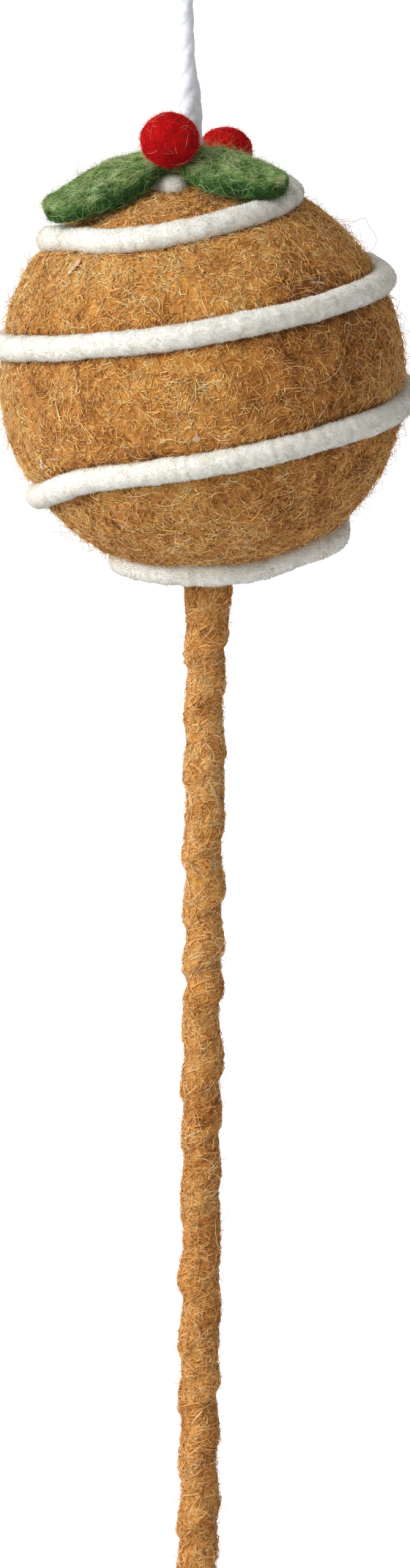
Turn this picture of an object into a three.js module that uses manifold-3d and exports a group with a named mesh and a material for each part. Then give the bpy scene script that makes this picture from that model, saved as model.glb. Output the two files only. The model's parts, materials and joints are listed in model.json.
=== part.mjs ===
// Cake pop ornament: a felted wool ball on a wool-wrapped stick, iced with one spiral of chenille,
// topped with two felt leaves and two felt berries, and hung by a loop of cotton cord.
// Millimetres, +Z up. The origin is the place of the loop that bears on a hook.
import * as THREE from "three";
import { mergeVertices } from "three/addons/utils/BufferGeometryUtils.js";
import Module from "manifold-3d";

const wasm = await Module();
wasm.setup();

// Gaps and tolerances
const FIT = 0.3; // between pieces that touch
const OVERRUN = 2; // of a cutter past the face that it cuts
const MERGE_DISTANCE = 0.001;

// Ball
const BALL_RADIUS = 37.5;
const FELT_WALL = 5;
const BALL_SIDES = 40;
const BALL_RINGS = 24;

// Stick: a round dowel in a wound band of wool
const STICK_LENGTH = 200; // below the ball
const DOWEL_RADIUS = 1.75;
const DOWEL_INSERT = 28; // inside the ball
const STICK_LEAN = 0.5; // degrees, its foot towards -X
const STICK_SHIFT = 1; // of its axis from the ball's centre, towards +X
const GLUE_WALL = 0.6;
const GLUE_LENGTH = 12;
const COLLAR_RADIUS = 4.4;
const COLLAR_HEIGHT = 9;
const BAND_WALL = 1.6;
const BAND_EDGE_WALL = 0.95;
const BAND_PITCH = 11.8;
const BAND_GAP = 0.6;
const BAND_CROWN_SHARE = 0.4; // of the band's width
const BAND_START = 1; // width of the band where it begins and ends
const BAND_STEPS = 16; // in a turn
const TIP_HEIGHT = 7;
const TIP_FLOOR = 1.6;
const TIP_ROUND = 1;

// Icing: a chenille stem, flat where it lies on the ball, round a twisted wire
const ICING_WIDTH = 4.8;
const ICING_HEIGHT = 1.8;
const WIRE_RADIUS = 0.4;
const ICING_STEPS = 24; // in a turn
const ICING_SHOULDER_SHARE = 0.45; // of its height, where it is widest
const ICING_FOOT_SHARE = 0.8; // of its width
const ICING_CROWN_SHARE = 0.5; // of its width
const ICING_START_AZIMUTH = 100; // degrees
const ICING_START_REACH = 14; // of its lower end from the ball's axis
const ICING_END_REACH = 8.25; // of its upper end from the ball's axis
// Turns wound so far, and the share of the way up from its lower to its upper latitude
const ICING_CLIMB_SHARES = [
  [0, 0],
  [0.222, 0.013],
  [0.286, 0.017],
  [0.389, 0.002],
  [0.478, 0],
  [0.539, 0.01],
  [0.608, 0.041],
  [0.653, 0.092],
  [0.692, 0.147],
  [0.722, 0.171],
  [0.847, 0.185],
  [1, 0.195],
  [1.139, 0.205],
  [1.244, 0.222],
  [1.294, 0.245],
  [1.328, 0.27],
  [1.364, 0.299],
  [1.4, 0.314],
  [1.475, 0.347],
  [1.55, 0.379],
  [1.592, 0.396],
  [1.658, 0.416],
  [1.722, 0.428],
  [2, 0.486],
  [2.264, 0.533],
  [2.342, 0.555],
  [2.4, 0.575],
  [2.45, 0.591],
  [2.5, 0.615],
  [2.553, 0.632],
  [2.606, 0.65],
  [2.664, 0.661],
  [2.722, 0.664],
  [3, 0.702],
  [3.197, 0.746],
  [3.286, 0.775],
  [3.367, 0.784],
  [3.422, 0.805],
  [3.475, 0.831],
  [3.519, 0.854],
  [3.578, 0.877],
  [3.644, 0.898],
  [3.714, 0.907],
  [3.889, 0.949],
  [3.972, 0.966],
  [4.139, 0.976],
  [4.25, 0.986],
  [4.356, 1],
];

// Leaves
const LEAF_WIDTH = 12.8;
const LEAF_WALL = 3;
const LEAF_ARCH = 0.8;
const LEAF_PINCH_WALL = 1.3; // where the berry presses on it
const LEAF_PINCH_SHARE = 0.3; // of its length
const LEAF_END_SHARE = 0.24; // of its width, at its blunt ends
const LEAF_STEPS = 12;
const LEAF_CLEARANCE = 0.2; // more than a fit, over the icing that it crosses
const LEFT_LEAF = { azimuth: 221, latitude: 75.8, heading: 192, length: 23.6, lift: 2.4, roll: 13 };
const RIGHT_LEAF = { azimuth: 237, latitude: 79.4, heading: -27, length: 22, lift: 0.5, roll: 8 };

// Berries
const FRONT_BERRY_RADIUS = 5.5;
const REAR_BERRY_RADIUS = 4.7;
const FRONT_BERRY_SETTLE = 1; // how far it sits down between the leaves
const FRONT_BERRY_PLACE = { azimuth: 243.3, latitude: 73.4 };
const REAR_BERRY_PLACE = { azimuth: 78, latitude: 63 };

// Hanging cord
const CORD_RADIUS = 1.5;
const CORD_GAP = 0.4; // between its two legs
const CORD_SIDES = 8;
const CORD_DOME_STEPS = 4;
const CORD_X = -2.8;
const CORD_Y = 0.6;
const PIVOT_LIFT = 10; // of the bend of the cord over the ball
const LEG_LENGTH = 24;
const LOOP_HEIGHT = 26;
const LOOP_BEND_RADIUS = 6.2; // of the cord's centre
const LOOP_STEPS = 26;
const KNOT_RADIUS = 4;
const KNOT_HEIGHT = 6.5;
const KNOT_ROUND_SHARE = 0.2; // of its radius and height, at both rims
const KNOT_DEPTH = 3.2; // of its top under the felt
const PAD_WALL = 0.9; // of glue round the cord's tails
const PAD_HEIGHT = 1.5;

// Sizes that follow
const RAD = Math.PI / 180;
const CORE_RADIUS = BALL_RADIUS - FELT_WALL - FIT;
const BORE_RADIUS = DOWEL_RADIUS + FIT + GLUE_WALL + FIT;
const SLEEVE_RADIUS = DOWEL_RADIUS + FIT;
const BAND_RADIUS = SLEEVE_RADIUS + BAND_WALL;
const ICING_SEAT = (BALL_RADIUS + FIT) / Math.cos(Math.PI / ICING_STEPS);
const ICING_TOP = ICING_SEAT + ICING_HEIGHT;
const LEG_OFFSET = CORD_RADIUS + CORD_GAP / 2;
const PIVOT_Z = BALL_RADIUS + PIVOT_LIFT;
const TWIST_Z = PIVOT_Z + CORD_RADIUS + FIT + LEG_LENGTH;
const HANG_Z = TWIST_Z + FIT + LOOP_HEIGHT;

// Materials
const WOOL_TAN = material(0xc2894a, 0.95);
const WOOL_STICK = material(0xb9803f, 0.95);
const FOAM = material(0xf0eee6, 0.9);
const BIRCH = material(0xd9bd8c, 0.7);
const CHENILLE = material(0xeeeee8, 0.9);
const WIRE = material(0x9a9c9e, 0.35, 1);
const FELT_GREEN = material(0x4d8a45, 0.95);
const FELT_RED = material(0xb80f18, 0.95);
const COTTON = material(0xf2f3f5, 0.85);
const GLUE = material(0xe8e2d2, 0.25);

function material(color, roughness, metalness = 0) {
  return new THREE.MeshStandardMaterial({ color, roughness, metalness });
}

// The point at a radius over the ball's centre, in a direction given in degrees.
function onBall(radius, azimuth, latitude) {
  const flat = radius * Math.cos(latitude * RAD);
  return new THREE.Vector3(
    flat * Math.cos(azimuth * RAD),
    flat * Math.sin(azimuth * RAD),
    radius * Math.sin(latitude * RAD),
  );
}

// An indexed mesh of points and triangles, turned so that its faces point out.
function closedMesh(points, faces) {
  const volume = faces.reduce((sum, [a, b, c]) => {
    const across = new THREE.Vector3().crossVectors(points[b], points[c]);
    return sum + points[a].dot(across);
  }, 0);
  const turned = volume < 0 ? faces.map(([a, b, c]) => [a, c, b]) : faces;
  const geometry = new THREE.BufferGeometry().setFromPoints(points);
  geometry.setIndex(turned.flat());
  geometry.computeVertexNormals();
  return geometry;
}

// The two triangles between each pair of neighbours of two rings.
function band(first, second, count) {
  return Array.from({ length: count }, (_, k) => {
    const next = (k + 1) % count;
    return [
      [first + k, first + next, second + next],
      [first + k, second + next, second + k],
    ];
  }).flat();
}

function rows(count, size, offset = 0) {
  return Array.from({ length: count }, (_, i) => offset + i * size);
}

// A solid through rings of points, closed at both ends.
function lofted(rings) {
  const size = rings[0].length;
  const starts = rows(rings.length, size);
  const faces = starts.slice(1).flatMap((start, i) => band(starts[i], start, size));
  const last = starts.at(-1);
  for (let k = 1; k + 1 < size; k++)
    faces.push([0, k + 1, k], [last, last + k, last + k + 1]);
  return closedMesh(rings.flat(), faces);
}

// A tube through outer and inner rings of as many points each, open along its bore.
function bored(outer, inner) {
  const size = outer[0].length;
  const outside = rows(outer.length, size);
  const inside = rows(inner.length, size, outer.length * size);
  const faces = outside.slice(1).flatMap((start, i) => [
    ...band(outside[i], start, size),
    ...band(inside[i + 1], inside[i], size),
  ]);
  faces.push(...band(inside[0], outside[0], size));
  faces.push(...band(outside.at(-1), inside.at(-1), size));
  return closedMesh([...outer.flat(), ...inner.flat()], faces);
}

// A turned solid about Z from [radius, height] pairs.
function turned(profile, sides) {
  const outline = profile.map(([radius, height]) => new THREE.Vector2(radius, height));
  const lathe = new THREE.LatheGeometry(outline, sides).rotateX(Math.PI / 2);
  const merged = merge(lathe);
  const place = merged.getAttribute("position");
  const points = Array.from({ length: place.count }, (_, i) =>
    new THREE.Vector3().fromBufferAttribute(place, i),
  );
  const corners = Array.from(merged.index.array);
  const faces = [];
  for (let i = 0; i < corners.length; i += 3) {
    const [a, b, c] = corners.slice(i, i + 3);
    if (a !== b && b !== c && a !== c) faces.push([a, b, c]);
  }
  return closedMesh(points, faces);
}

function merge(geometry) {
  const bare = geometry.clone();
  bare.deleteAttribute("normal");
  bare.deleteAttribute("uv");
  return mergeVertices(bare, MERGE_DISTANCE);
}

function solidOf(geometry) {
  const merged = merge(geometry);
  return new wasm.Manifold(
    new wasm.Mesh({
      numProp: 3,
      vertProperties: merged.getAttribute("position").array,
      triVerts: new Uint32Array(merged.index.array),
    }),
  );
}

function cut(geometry, ...cutters) {
  const left = cutters.reduce((solid, cutter) => solid.subtract(solidOf(cutter)), solidOf(geometry));
  const mesh = left.getMesh();
  const made = new THREE.BufferGeometry();
  made.setAttribute("position", new THREE.BufferAttribute(mesh.vertProperties, mesh.numProp));
  made.setIndex(new THREE.BufferAttribute(mesh.triVerts, 1));
  made.computeVertexNormals();
  return made;
}

function sphere(radius, sides = BALL_SIDES, rings = BALL_RINGS) {
  return new THREE.SphereGeometry(radius, sides, rings).rotateX(Math.PI / 2);
}

// An upright cylinder between two heights.
function post(radius, bottom, top, sides = 16) {
  return new THREE.CylinderGeometry(radius, radius, top - bottom, sides)
    .rotateX(Math.PI / 2)
    .translate(0, 0, (top + bottom) / 2);
}

function piece(name, geometry, look) {
  const mesh = new THREE.Mesh(geometry, look);
  mesh.name = name;
  return mesh;
}

function leaned(geometry) {
  return geometry.rotateY(STICK_LEAN * RAD).translate(STICK_SHIFT, 0, 0);
}

function legPlaces() {
  return { front: CORD_Y - LEG_OFFSET, rear: CORD_Y + LEG_OFFSET };
}

function knotTop() {
  return BALL_RADIUS - FELT_WALL - KNOT_DEPTH;
}

// Ball: a foam core in a skin of felted wool
function foamCore() {
  const bore = leaned(
    post(BORE_RADIUS, -BALL_RADIUS - OVERRUN, -BALL_RADIUS + DOWEL_INSERT + FIT),
  );
  const pocket = post(
    KNOT_RADIUS + FIT,
    knotTop() - KNOT_HEIGHT - FIT,
    BALL_RADIUS + OVERRUN,
  ).translate(CORD_X, CORD_Y, 0);
  return piece("foam_core", cut(sphere(CORE_RADIUS), bore, pocket), FOAM);
}

function feltSkin() {
  const dowelHole = leaned(
    post(SLEEVE_RADIUS, -BALL_RADIUS - OVERRUN, -BALL_RADIUS + FELT_WALL + OVERRUN),
  );
  const cordHoles = Object.values(legPlaces()).map((y) =>
    post(
      CORD_RADIUS + FIT,
      BALL_RADIUS - FELT_WALL - OVERRUN,
      BALL_RADIUS + OVERRUN,
    ).translate(CORD_X, y, 0),
  );
  const hollow = sphere(BALL_RADIUS - FELT_WALL);
  return piece("felt_skin", cut(sphere(BALL_RADIUS), hollow, dowelHole, ...cordHoles), WOOL_TAN);
}

// Stick, in a frame whose Z runs up the leaning dowel from the ball's centre
function stick() {
  const group = new THREE.Group();
  group.rotation.y = STICK_LEAN * RAD;
  group.position.x = STICK_SHIFT;
  group.add(dowel(), stickGlue(), collar(), woolBand(), stickTip());
  return group;
}

const STICK_TOP = -BALL_RADIUS - FIT;
const STICK_END = -BALL_RADIUS - STICK_LENGTH;

function dowel() {
  const bottom = STICK_END + TIP_FLOOR + FIT;
  const top = -BALL_RADIUS + DOWEL_INSERT;
  return piece("stick_dowel", post(DOWEL_RADIUS, bottom, top, 12), BIRCH);
}

function stickGlue() {
  const low = -CORE_RADIUS + FIT;
  const profile = [
    [SLEEVE_RADIUS, low],
    [SLEEVE_RADIUS + GLUE_WALL, low],
    [SLEEVE_RADIUS + GLUE_WALL, low + GLUE_LENGTH],
    [SLEEVE_RADIUS, low + GLUE_LENGTH],
    [SLEEVE_RADIUS, low],
  ];
  return piece("stick_glue", turned(profile, 16), GLUE);
}

// The wool of the stick spreads where it is felted on to the ball.
function collar() {
  const low = STICK_TOP - COLLAR_HEIGHT;
  const waist = BAND_RADIUS + (COLLAR_RADIUS - BAND_RADIUS) / 3;
  const profile = [
    [SLEEVE_RADIUS, low],
    [BAND_RADIUS, low],
    [waist, low + COLLAR_HEIGHT / 2],
    [COLLAR_RADIUS, STICK_TOP - COLLAR_HEIGHT / 8],
    [COLLAR_RADIUS, STICK_TOP],
    [SLEEVE_RADIUS, STICK_TOP],
    [SLEEVE_RADIUS, low],
  ];
  return piece("stick_collar", turned(profile, 20), WOOL_STICK);
}

// The band's section at an angle of its helix, kept between the heights where it begins and ends.
function bandSection(angle, middle, low, high) {
  const width = BAND_PITCH - BAND_GAP;
  const crown = width * BAND_CROWN_SHARE;
  const corners = [
    [SLEEVE_RADIUS, -width],
    [SLEEVE_RADIUS + BAND_EDGE_WALL, -width],
    [BAND_RADIUS, -crown],
    [BAND_RADIUS, crown],
    [SLEEVE_RADIUS + BAND_EDGE_WALL, width],
    [SLEEVE_RADIUS, width],
  ];
  return corners.map(([radius, across]) => {
    const height = THREE.MathUtils.clamp(middle + across / 2, low, high);
    return new THREE.Vector3(radius * Math.cos(angle), radius * Math.sin(angle), height);
  });
}

function woolBand() {
  const low = STICK_END + TIP_HEIGHT + FIT;
  const high = STICK_TOP - COLLAR_HEIGHT - FIT;
  const width = BAND_PITCH - BAND_GAP;
  const rise = high - low + width - 2 * BAND_START;
  const steps = Math.ceil((rise / BAND_PITCH) * BAND_STEPS);
  const rings = Array.from({ length: steps + 1 }, (_, i) => {
    const middle = low + BAND_START - width / 2 + (rise * i) / steps;
    return bandSection((middle / BAND_PITCH) * 2 * Math.PI, middle, low, high);
  });
  console.log("stick_wrap least self gap", selfGap(rings, BAND_STEPS).toFixed(2), "mm");
  return piece("stick_wrap", lofted(rings), WOOL_STICK);
}

function stickTip() {
  const top = STICK_END + TIP_HEIGHT;
  const floor = STICK_END + TIP_FLOOR;
  const profile = [
    [0, STICK_END],
    [BAND_RADIUS - TIP_ROUND, STICK_END],
    [BAND_RADIUS, STICK_END + TIP_ROUND],
    [BAND_RADIUS, top],
    [SLEEVE_RADIUS, top],
    [SLEEVE_RADIUS, floor],
    [0, floor],
  ];
  return piece("stick_tip", turned(profile, 20), WOOL_STICK);
}

// The least gap between a winding's turns: from each point to the points at least half a turn on.
function selfGap(rings, steps) {
  let least = Infinity;
  rings.forEach((ring, i) => {
    for (const later of rings.slice(i + Math.ceil(steps / 2)))
      for (const a of ring)
        for (const b of later) least = Math.min(least, a.distanceTo(b));
  });
  return least;
}

// Icing
function climbShare(turns) {
  const route = new THREE.SplineCurve(ICING_CLIMB_SHARES.map((pair) => new THREE.Vector2(...pair)));
  let low = 0;
  let high = 1;
  for (let i = 0; i < 40; i++) {
    const middle = (low + high) / 2;
    if (route.getPoint(middle).x < turns) low = middle;
    else high = middle;
  }
  return route.getPoint(low).y;
}

// The place of the stem's underside after some turns
function icingSeat(turns) {
  const lowest = -Math.acos(ICING_START_REACH / ICING_SEAT) / RAD;
  const highest = Math.acos(ICING_END_REACH / ICING_SEAT) / RAD;
  const latitude = THREE.MathUtils.lerp(lowest, highest, climbShare(turns));
  return onBall(ICING_SEAT, ICING_START_AZIMUTH + 360 * turns, latitude);
}

// Rings of a section that follows the icing's route. Its points are pairs of across and up.
function alongIcing(section) {
  const turns = ICING_CLIMB_SHARES.at(-1)[0];
  const steps = Math.round(turns * ICING_STEPS);
  const seats = rows(steps + 1, turns / steps).map(icingSeat);
  return seats.map((seat, i) => {
    const ahead = seats[Math.min(i + 1, steps)].clone().sub(seats[Math.max(i - 1, 0)]);
    const up = seat.clone().normalize();
    const across = new THREE.Vector3().crossVectors(up, ahead).normalize();
    return section.map(([side, lift]) =>
      seat.clone().addScaledVector(across, side).addScaledVector(up, lift),
    );
  });
}

function ringSection(radius, lift, sides) {
  return Array.from({ length: sides }, (_, k) => {
    const angle = ((k + 0.5) / sides) * 2 * Math.PI - Math.PI / 2 - Math.PI / sides;
    return [radius * Math.cos(angle), lift + radius * Math.sin(angle)];
  });
}

function icing() {
  const half = ICING_WIDTH / 2;
  const foot = half * ICING_FOOT_SHARE;
  const crown = half * ICING_CROWN_SHARE;
  const shoulder = ICING_HEIGHT * ICING_SHOULDER_SHARE;
  const outline = [
    [-foot, 0],
    [foot, 0],
    [half, shoulder],
    [crown, ICING_HEIGHT],
    [-crown, ICING_HEIGHT],
    [-half, shoulder],
  ];
  const bore = ringSection(WIRE_RADIUS + FIT, ICING_HEIGHT / 2, outline.length);
  const outer = alongIcing(outline);
  console.log("icing_chenille least self gap", selfGap(outer, ICING_STEPS).toFixed(2), "mm");
  const wire = alongIcing(ringSection(WIRE_RADIUS, ICING_HEIGHT / 2, 4));
  return [
    piece("icing_chenille", bored(outer, alongIcing(bore)), CHENILLE),
    piece("icing_wire", lofted(wire), WIRE),
  ];
}

// Leaves: a blunt oval of thick felt from its pinched base, in a frame of length, width and normal
function leafSection(share, length) {
  const middle = Math.abs(2 * share - 1);
  const spread = Math.max(LEAF_END_SHARE, (1 - middle ** 2.4) ** 0.65);
  const half = (LEAF_WIDTH / 2) * spread;
  const pinch = THREE.MathUtils.smoothstep(share, 0, LEAF_PINCH_SHARE);
  const wall = LEAF_PINCH_WALL + (LEAF_WALL - LEAF_PINCH_WALL) * pinch;
  const arch = LEAF_ARCH * Math.sin(Math.PI * share);
  return Array.from({ length: 8 }, (_, k) => {
    const angle = ((k + 0.5) / 8) * 2 * Math.PI;
    const side = Math.sign(Math.cos(angle)) * Math.sqrt(Math.abs(Math.cos(angle)));
    const lift = Math.sign(Math.sin(angle)) * Math.sqrt(Math.abs(Math.sin(angle)));
    return new THREE.Vector3(length * share, half * side, arch + (wall / 2) * lift);
  });
}

// The leaf's base lies over the icing, and its far end is as much higher as its lift.
function leaf(name, { azimuth, latitude, heading, length, lift, roll }) {
  const rest = ICING_TOP + FIT + LEAF_CLEARANCE;
  const near = rest + LEAF_PINCH_WALL / 2;
  const far = rest + LEAF_WALL / 2 + lift;
  const base = onBall(near, azimuth, latitude);
  const up = base.clone().normalize();
  const turn = Math.acos((near ** 2 + far ** 2 - length ** 2) / (2 * near * far));
  const away = new THREE.Vector3(Math.cos(heading * RAD), Math.sin(heading * RAD), 0);
  away.addScaledVector(up, -away.dot(up)).normalize();
  const tip = up.clone().multiplyScalar(far * Math.cos(turn)).addScaledVector(away, far * Math.sin(turn));
  const along = tip.clone().sub(base).normalize();
  const side = new THREE.Vector3().crossVectors(up, along).normalize();
  side.applyAxisAngle(along, roll * RAD * Math.sign(side.y));
  const normal = new THREE.Vector3().crossVectors(along, side);
  const rings = Array.from({ length: LEAF_STEPS + 1 }, (_, i) =>
    leafSection(i / LEAF_STEPS, length),
  );
  const mesh = piece(name, lofted(rings), FELT_GREEN);
  mesh.quaternion.setFromRotationMatrix(new THREE.Matrix4().makeBasis(along, side, normal));
  mesh.position.copy(base);
  return mesh;
}

// Berries
function berry(name, radius, { azimuth, latitude }, seat) {
  const mesh = piece(name, sphere(radius, 18, 12), FELT_RED);
  mesh.position.copy(onBall(seat + FIT + radius, azimuth, latitude));
  return mesh;
}

function berries() {
  const leafTop = ICING_TOP + FIT + LEAF_CLEARANCE + LEAF_PINCH_WALL;
  return [
    berry("berry_front", FRONT_BERRY_RADIUS, FRONT_BERRY_PLACE, leafTop - FRONT_BERRY_SETTLE),
    berry("berry_rear", REAR_BERRY_RADIUS, REAR_BERRY_PLACE, BALL_RADIUS),
  ];
}

// Hanging cord
function anchorKnot() {
  const top = knotTop();
  const low = top - KNOT_HEIGHT;
  const flat = KNOT_RADIUS * (1 - KNOT_ROUND_SHARE);
  const round = KNOT_HEIGHT * KNOT_ROUND_SHARE;
  const profile = [
    [0, low],
    [flat, low],
    [KNOT_RADIUS, low + round],
    [KNOT_RADIUS, top - round],
    [flat, top],
    [0, top],
  ];
  return piece("anchor_knot", turned(profile, 16), COTTON);
}

// Each tail comes up from the knot and ends in a ball about the bend.
function cordTail(name, y) {
  const low = knotTop() + FIT;
  const profile = [
    [0, low],
    [CORD_RADIUS, low],
    ...rows(CORD_DOME_STEPS, Math.PI / 2 / CORD_DOME_STEPS).map((angle) => [
      CORD_RADIUS * Math.cos(angle),
      PIVOT_Z + CORD_RADIUS * Math.sin(angle),
    ]),
    [0, PIVOT_Z + CORD_RADIUS],
  ];
  const mesh = piece(name, turned(profile, CORD_SIDES), COTTON);
  mesh.position.set(CORD_X, y, 0);
  return mesh;
}

function cordLeg(name, y) {
  const low = PIVOT_Z + CORD_RADIUS + FIT;
  const mesh = piece(name, post(CORD_RADIUS, low, TWIST_Z, CORD_SIDES), COTTON);
  mesh.position.set(CORD_X, y, 0);
  return mesh;
}

function hangingLoop() {
  const low = TWIST_Z + FIT;
  const bend = HANG_Z + CORD_RADIUS - LOOP_BEND_RADIUS;
  const rise = (bend - low) / 3;
  const at = (y, z) => new THREE.Vector3(0, y, z);
  const path = new THREE.CurvePath();
  path.add(
    new THREE.CubicBezierCurve3(
      at(-LEG_OFFSET, low),
      at(-LEG_OFFSET, low + rise),
      at(-LOOP_BEND_RADIUS, bend - rise),
      at(-LOOP_BEND_RADIUS, bend),
    ),
  );
  const crown = new THREE.EllipseCurve(0, bend, LOOP_BEND_RADIUS, LOOP_BEND_RADIUS, Math.PI, 0, true);
  const arc = crown.getPoints(LOOP_STEPS).map((p) => at(p.x, p.y));
  path.add(new THREE.CatmullRomCurve3(arc));
  path.add(
    new THREE.CubicBezierCurve3(
      at(LOOP_BEND_RADIUS, bend),
      at(LOOP_BEND_RADIUS, bend - rise),
      at(LEG_OFFSET, low + rise),
      at(LEG_OFFSET, low),
    ),
  );
  const corners = rows(CORD_SIDES, 1).map((k) => {
    const angle = (k / CORD_SIDES) * 2 * Math.PI;
    return new THREE.Vector2(CORD_RADIUS * Math.cos(angle), CORD_RADIUS * Math.sin(angle));
  });
  const geometry = new THREE.ExtrudeGeometry(new THREE.Shape(corners), {
    steps: LOOP_STEPS,
    bevelEnabled: false,
    extrudePath: path,
  });
  const mesh = piece("hanging_loop", geometry, COTTON);
  mesh.position.set(CORD_X, CORD_Y, 0);
  return mesh;
}

function gluePad() {
  const top = BALL_RADIUS + FIT + PAD_HEIGHT;
  const disc = post(LEG_OFFSET + CORD_RADIUS + PAD_WALL, BALL_RADIUS + FIT, top, 24);
  const holes = [-LEG_OFFSET, LEG_OFFSET].map((y) =>
    post(CORD_RADIUS + FIT, BALL_RADIUS - OVERRUN, top + OVERRUN).translate(0, y, 0),
  );
  const mesh = piece("topper_glue", cut(disc, ...holes), GLUE);
  mesh.position.set(CORD_X, CORD_Y, 0);
  return mesh;
}

// The whole ornament about its ball's centre, lowered so that the hook's place is the origin
const ornament = new THREE.Group();
ornament.position.set(-CORD_X, -CORD_Y, -HANG_Z);
const { front, rear } = legPlaces();
ornament.add(foamCore(), feltSkin(), stick(), ...icing());
ornament.add(leaf("leaf_left", LEFT_LEAF), leaf("leaf_right", RIGHT_LEAF), ...berries(), gluePad());
ornament.add(anchorKnot().translateX(CORD_X).translateY(CORD_Y));
ornament.add(cordTail("cord_tail_front", front), cordTail("cord_tail_rear", rear));
ornament.add(cordLeg("cord_leg_front", front), cordLeg("cord_leg_rear", rear), hangingLoop());

const root = new THREE.Group();
root.add(ornament);
export default root;
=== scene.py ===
"""Cake pop ornament of felted wool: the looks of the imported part.

Everything is in metres, in the part's frame: +Z up along the cord, -Y towards the viewer.
"""
import json
import math

import bpy
import numpy as np
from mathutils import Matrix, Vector
from numpy.random import default_rng


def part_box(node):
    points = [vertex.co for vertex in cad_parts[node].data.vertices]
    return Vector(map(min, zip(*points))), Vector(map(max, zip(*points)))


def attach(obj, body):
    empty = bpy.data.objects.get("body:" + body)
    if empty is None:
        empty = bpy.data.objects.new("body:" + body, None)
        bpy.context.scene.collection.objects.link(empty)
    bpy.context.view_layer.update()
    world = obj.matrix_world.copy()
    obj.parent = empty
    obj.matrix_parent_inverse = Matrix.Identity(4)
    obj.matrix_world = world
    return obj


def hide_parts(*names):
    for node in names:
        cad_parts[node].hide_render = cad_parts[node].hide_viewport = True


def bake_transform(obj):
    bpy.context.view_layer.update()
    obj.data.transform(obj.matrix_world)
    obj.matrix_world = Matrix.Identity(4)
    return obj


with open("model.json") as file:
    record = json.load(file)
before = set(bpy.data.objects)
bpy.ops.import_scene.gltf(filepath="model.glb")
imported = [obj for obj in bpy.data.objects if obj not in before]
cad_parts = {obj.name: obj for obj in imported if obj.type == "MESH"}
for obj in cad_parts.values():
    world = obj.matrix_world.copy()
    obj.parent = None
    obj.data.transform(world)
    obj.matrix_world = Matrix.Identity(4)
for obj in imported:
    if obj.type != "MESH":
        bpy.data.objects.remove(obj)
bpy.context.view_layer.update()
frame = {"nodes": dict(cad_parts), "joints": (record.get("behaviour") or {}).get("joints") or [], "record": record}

MM = 0.001
UP = np.array([0.0, 0.0, 1.0])
WHITE = (1.0, 1.0, 1.0, 1.0)


def low(node):
    return np.array(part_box(node)[0])


def high(node):
    return np.array(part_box(node)[1])


def unit(vectors):
    return vectors / np.maximum(np.linalg.norm(vectors, axis=-1, keepdims=True), 1e-12)


# Places from the frame
BALL_RADIUS = (high("felt_skin") - low("felt_skin"))[0] / 2
BALL = (high("felt_skin") + low("felt_skin")) / 2
BALL[2] = high("felt_skin")[2] - BALL_RADIUS
STICK_MOUNT = next(m for m in frame["record"]["mounts"] if m["name"] == "stick_end")
STICK_END = np.array(STICK_MOUNT["pos_m"])
STICK_DOWN = np.array(STICK_MOUNT["axis"])
SWING_Z = next(j for j in frame["joints"] if j["name"] == "ornament_swing")["pos_m"][2]
TWIST_Z = next(j for j in frame["joints"] if j["name"] == "cord_twist")["pos_m"][2]

# Camera, from the photograph's frame
PHOTO_HEIGHT = 2560
PIXELS_PER_MM = 8.8
CAMERA_DISTANCE = 1800 * MM
CAMERA_PITCH = math.radians(10.4)
LEAN, STAND = math.sin(CAMERA_PITCH), math.cos(CAMERA_PITCH)
CAMERA_AIM = BALL + np.array([0.45, 0.0, -76.7]) * MM
SENSOR = 36.0
BALL_ACROSS = 331
BALL_DOWN = 611
BALL_PIXELS = 333

# Cord of three strands, each of many yarns
CORD_SIDES = 42
CORD_CORE = 1.28 * MM
STRAND_RISE = 0.24 * MM
STRAND_PITCH = 13.2 * MM
YARNS = 21
YARN_RISE = 0.025 * MM
YARN_PITCH = 2.4 * MM
LEG_OFFSET = 1.7 * MM
LOOP_RADIUS = 6.2 * MM
LOOP_CENTRE_Z = -4.7 * MM
# Points of its path along a tail, a leg, the rise from there and the bend over the hook
TAIL_STEPS, LEG_STEPS, RISE_STEPS, BEND_STEPS = 46, 60, 50, 44
# Where its strands loosen, over what reach and by what share
LOOSE_Z, LOOSE_SPREAD, LOOSENING = -48 * MM, 4 * MM, 0.16
# Heights and how far each leg stands to the right there, in millimetres: the rear leg shows near the ball
FRONT_ASIDE = ((-62, 0.2), (-52, 0.2), (-44, -0.05), (-26, -0.6), (-20, -0.6), (-6, 0))
REAR_ASIDE = ((-62, 1.3), (-52, 1.2), (-49, 0.9), (-43, 0), (-26, -0.6), (-20, -0.6), (-6, 0))

# Bumps, streaks and patches are layers of noise, each given as its size in millimetres and its height:
# in millimetres for bumps, and as a tone from 0, dark, to 1, pale, for streaks and patches.
CORD_BUMPS = ((0.6, 0.05), (2.5, 0.08))

# Wool of the ball
WOOL_RADIUS = 37.05 * MM
WOOL_BUMPS = ((17, 0.32), (6, 0.22), (2.2, 0.2), (0.9, 0.13))
WOOL_PATCHES = ((22, 0.2), (8, 0.18), (3.5, 0.17), (1.3, 0.32), (0.6, 0.2))
WOOL_TONE = 0.65
# The dark line of painted shade in the crease on either side of the chenille: its tone's depth, its place from the
# middle and its reach
CREASE_SHADE_DEPTH, CREASE_SHADE_PLACE, CREASE_SHADE_REACH = 0.4, 2.5 * MM, 0.7 * MM
BALL_GRID = 108
GROOVE_DEPTH = 0.9 * MM
GROOVE_WIDTH = 2.6 * MM
# Hairs of a coat: how many, their lengths in millimetres and the points along each
SHORT_COAT = 10998, (1.2, 3.4), 5
BALL_LONG_COAT = 6000, (3, 7), 7
STICK_LONG_COAT = 6000, (3, 8), 7
# Hairs of each lock in the ball's layers of short hair, from the first to the last
BALL_LOCKS = 2, 2, 2, 3, 3, 3, 3
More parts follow.
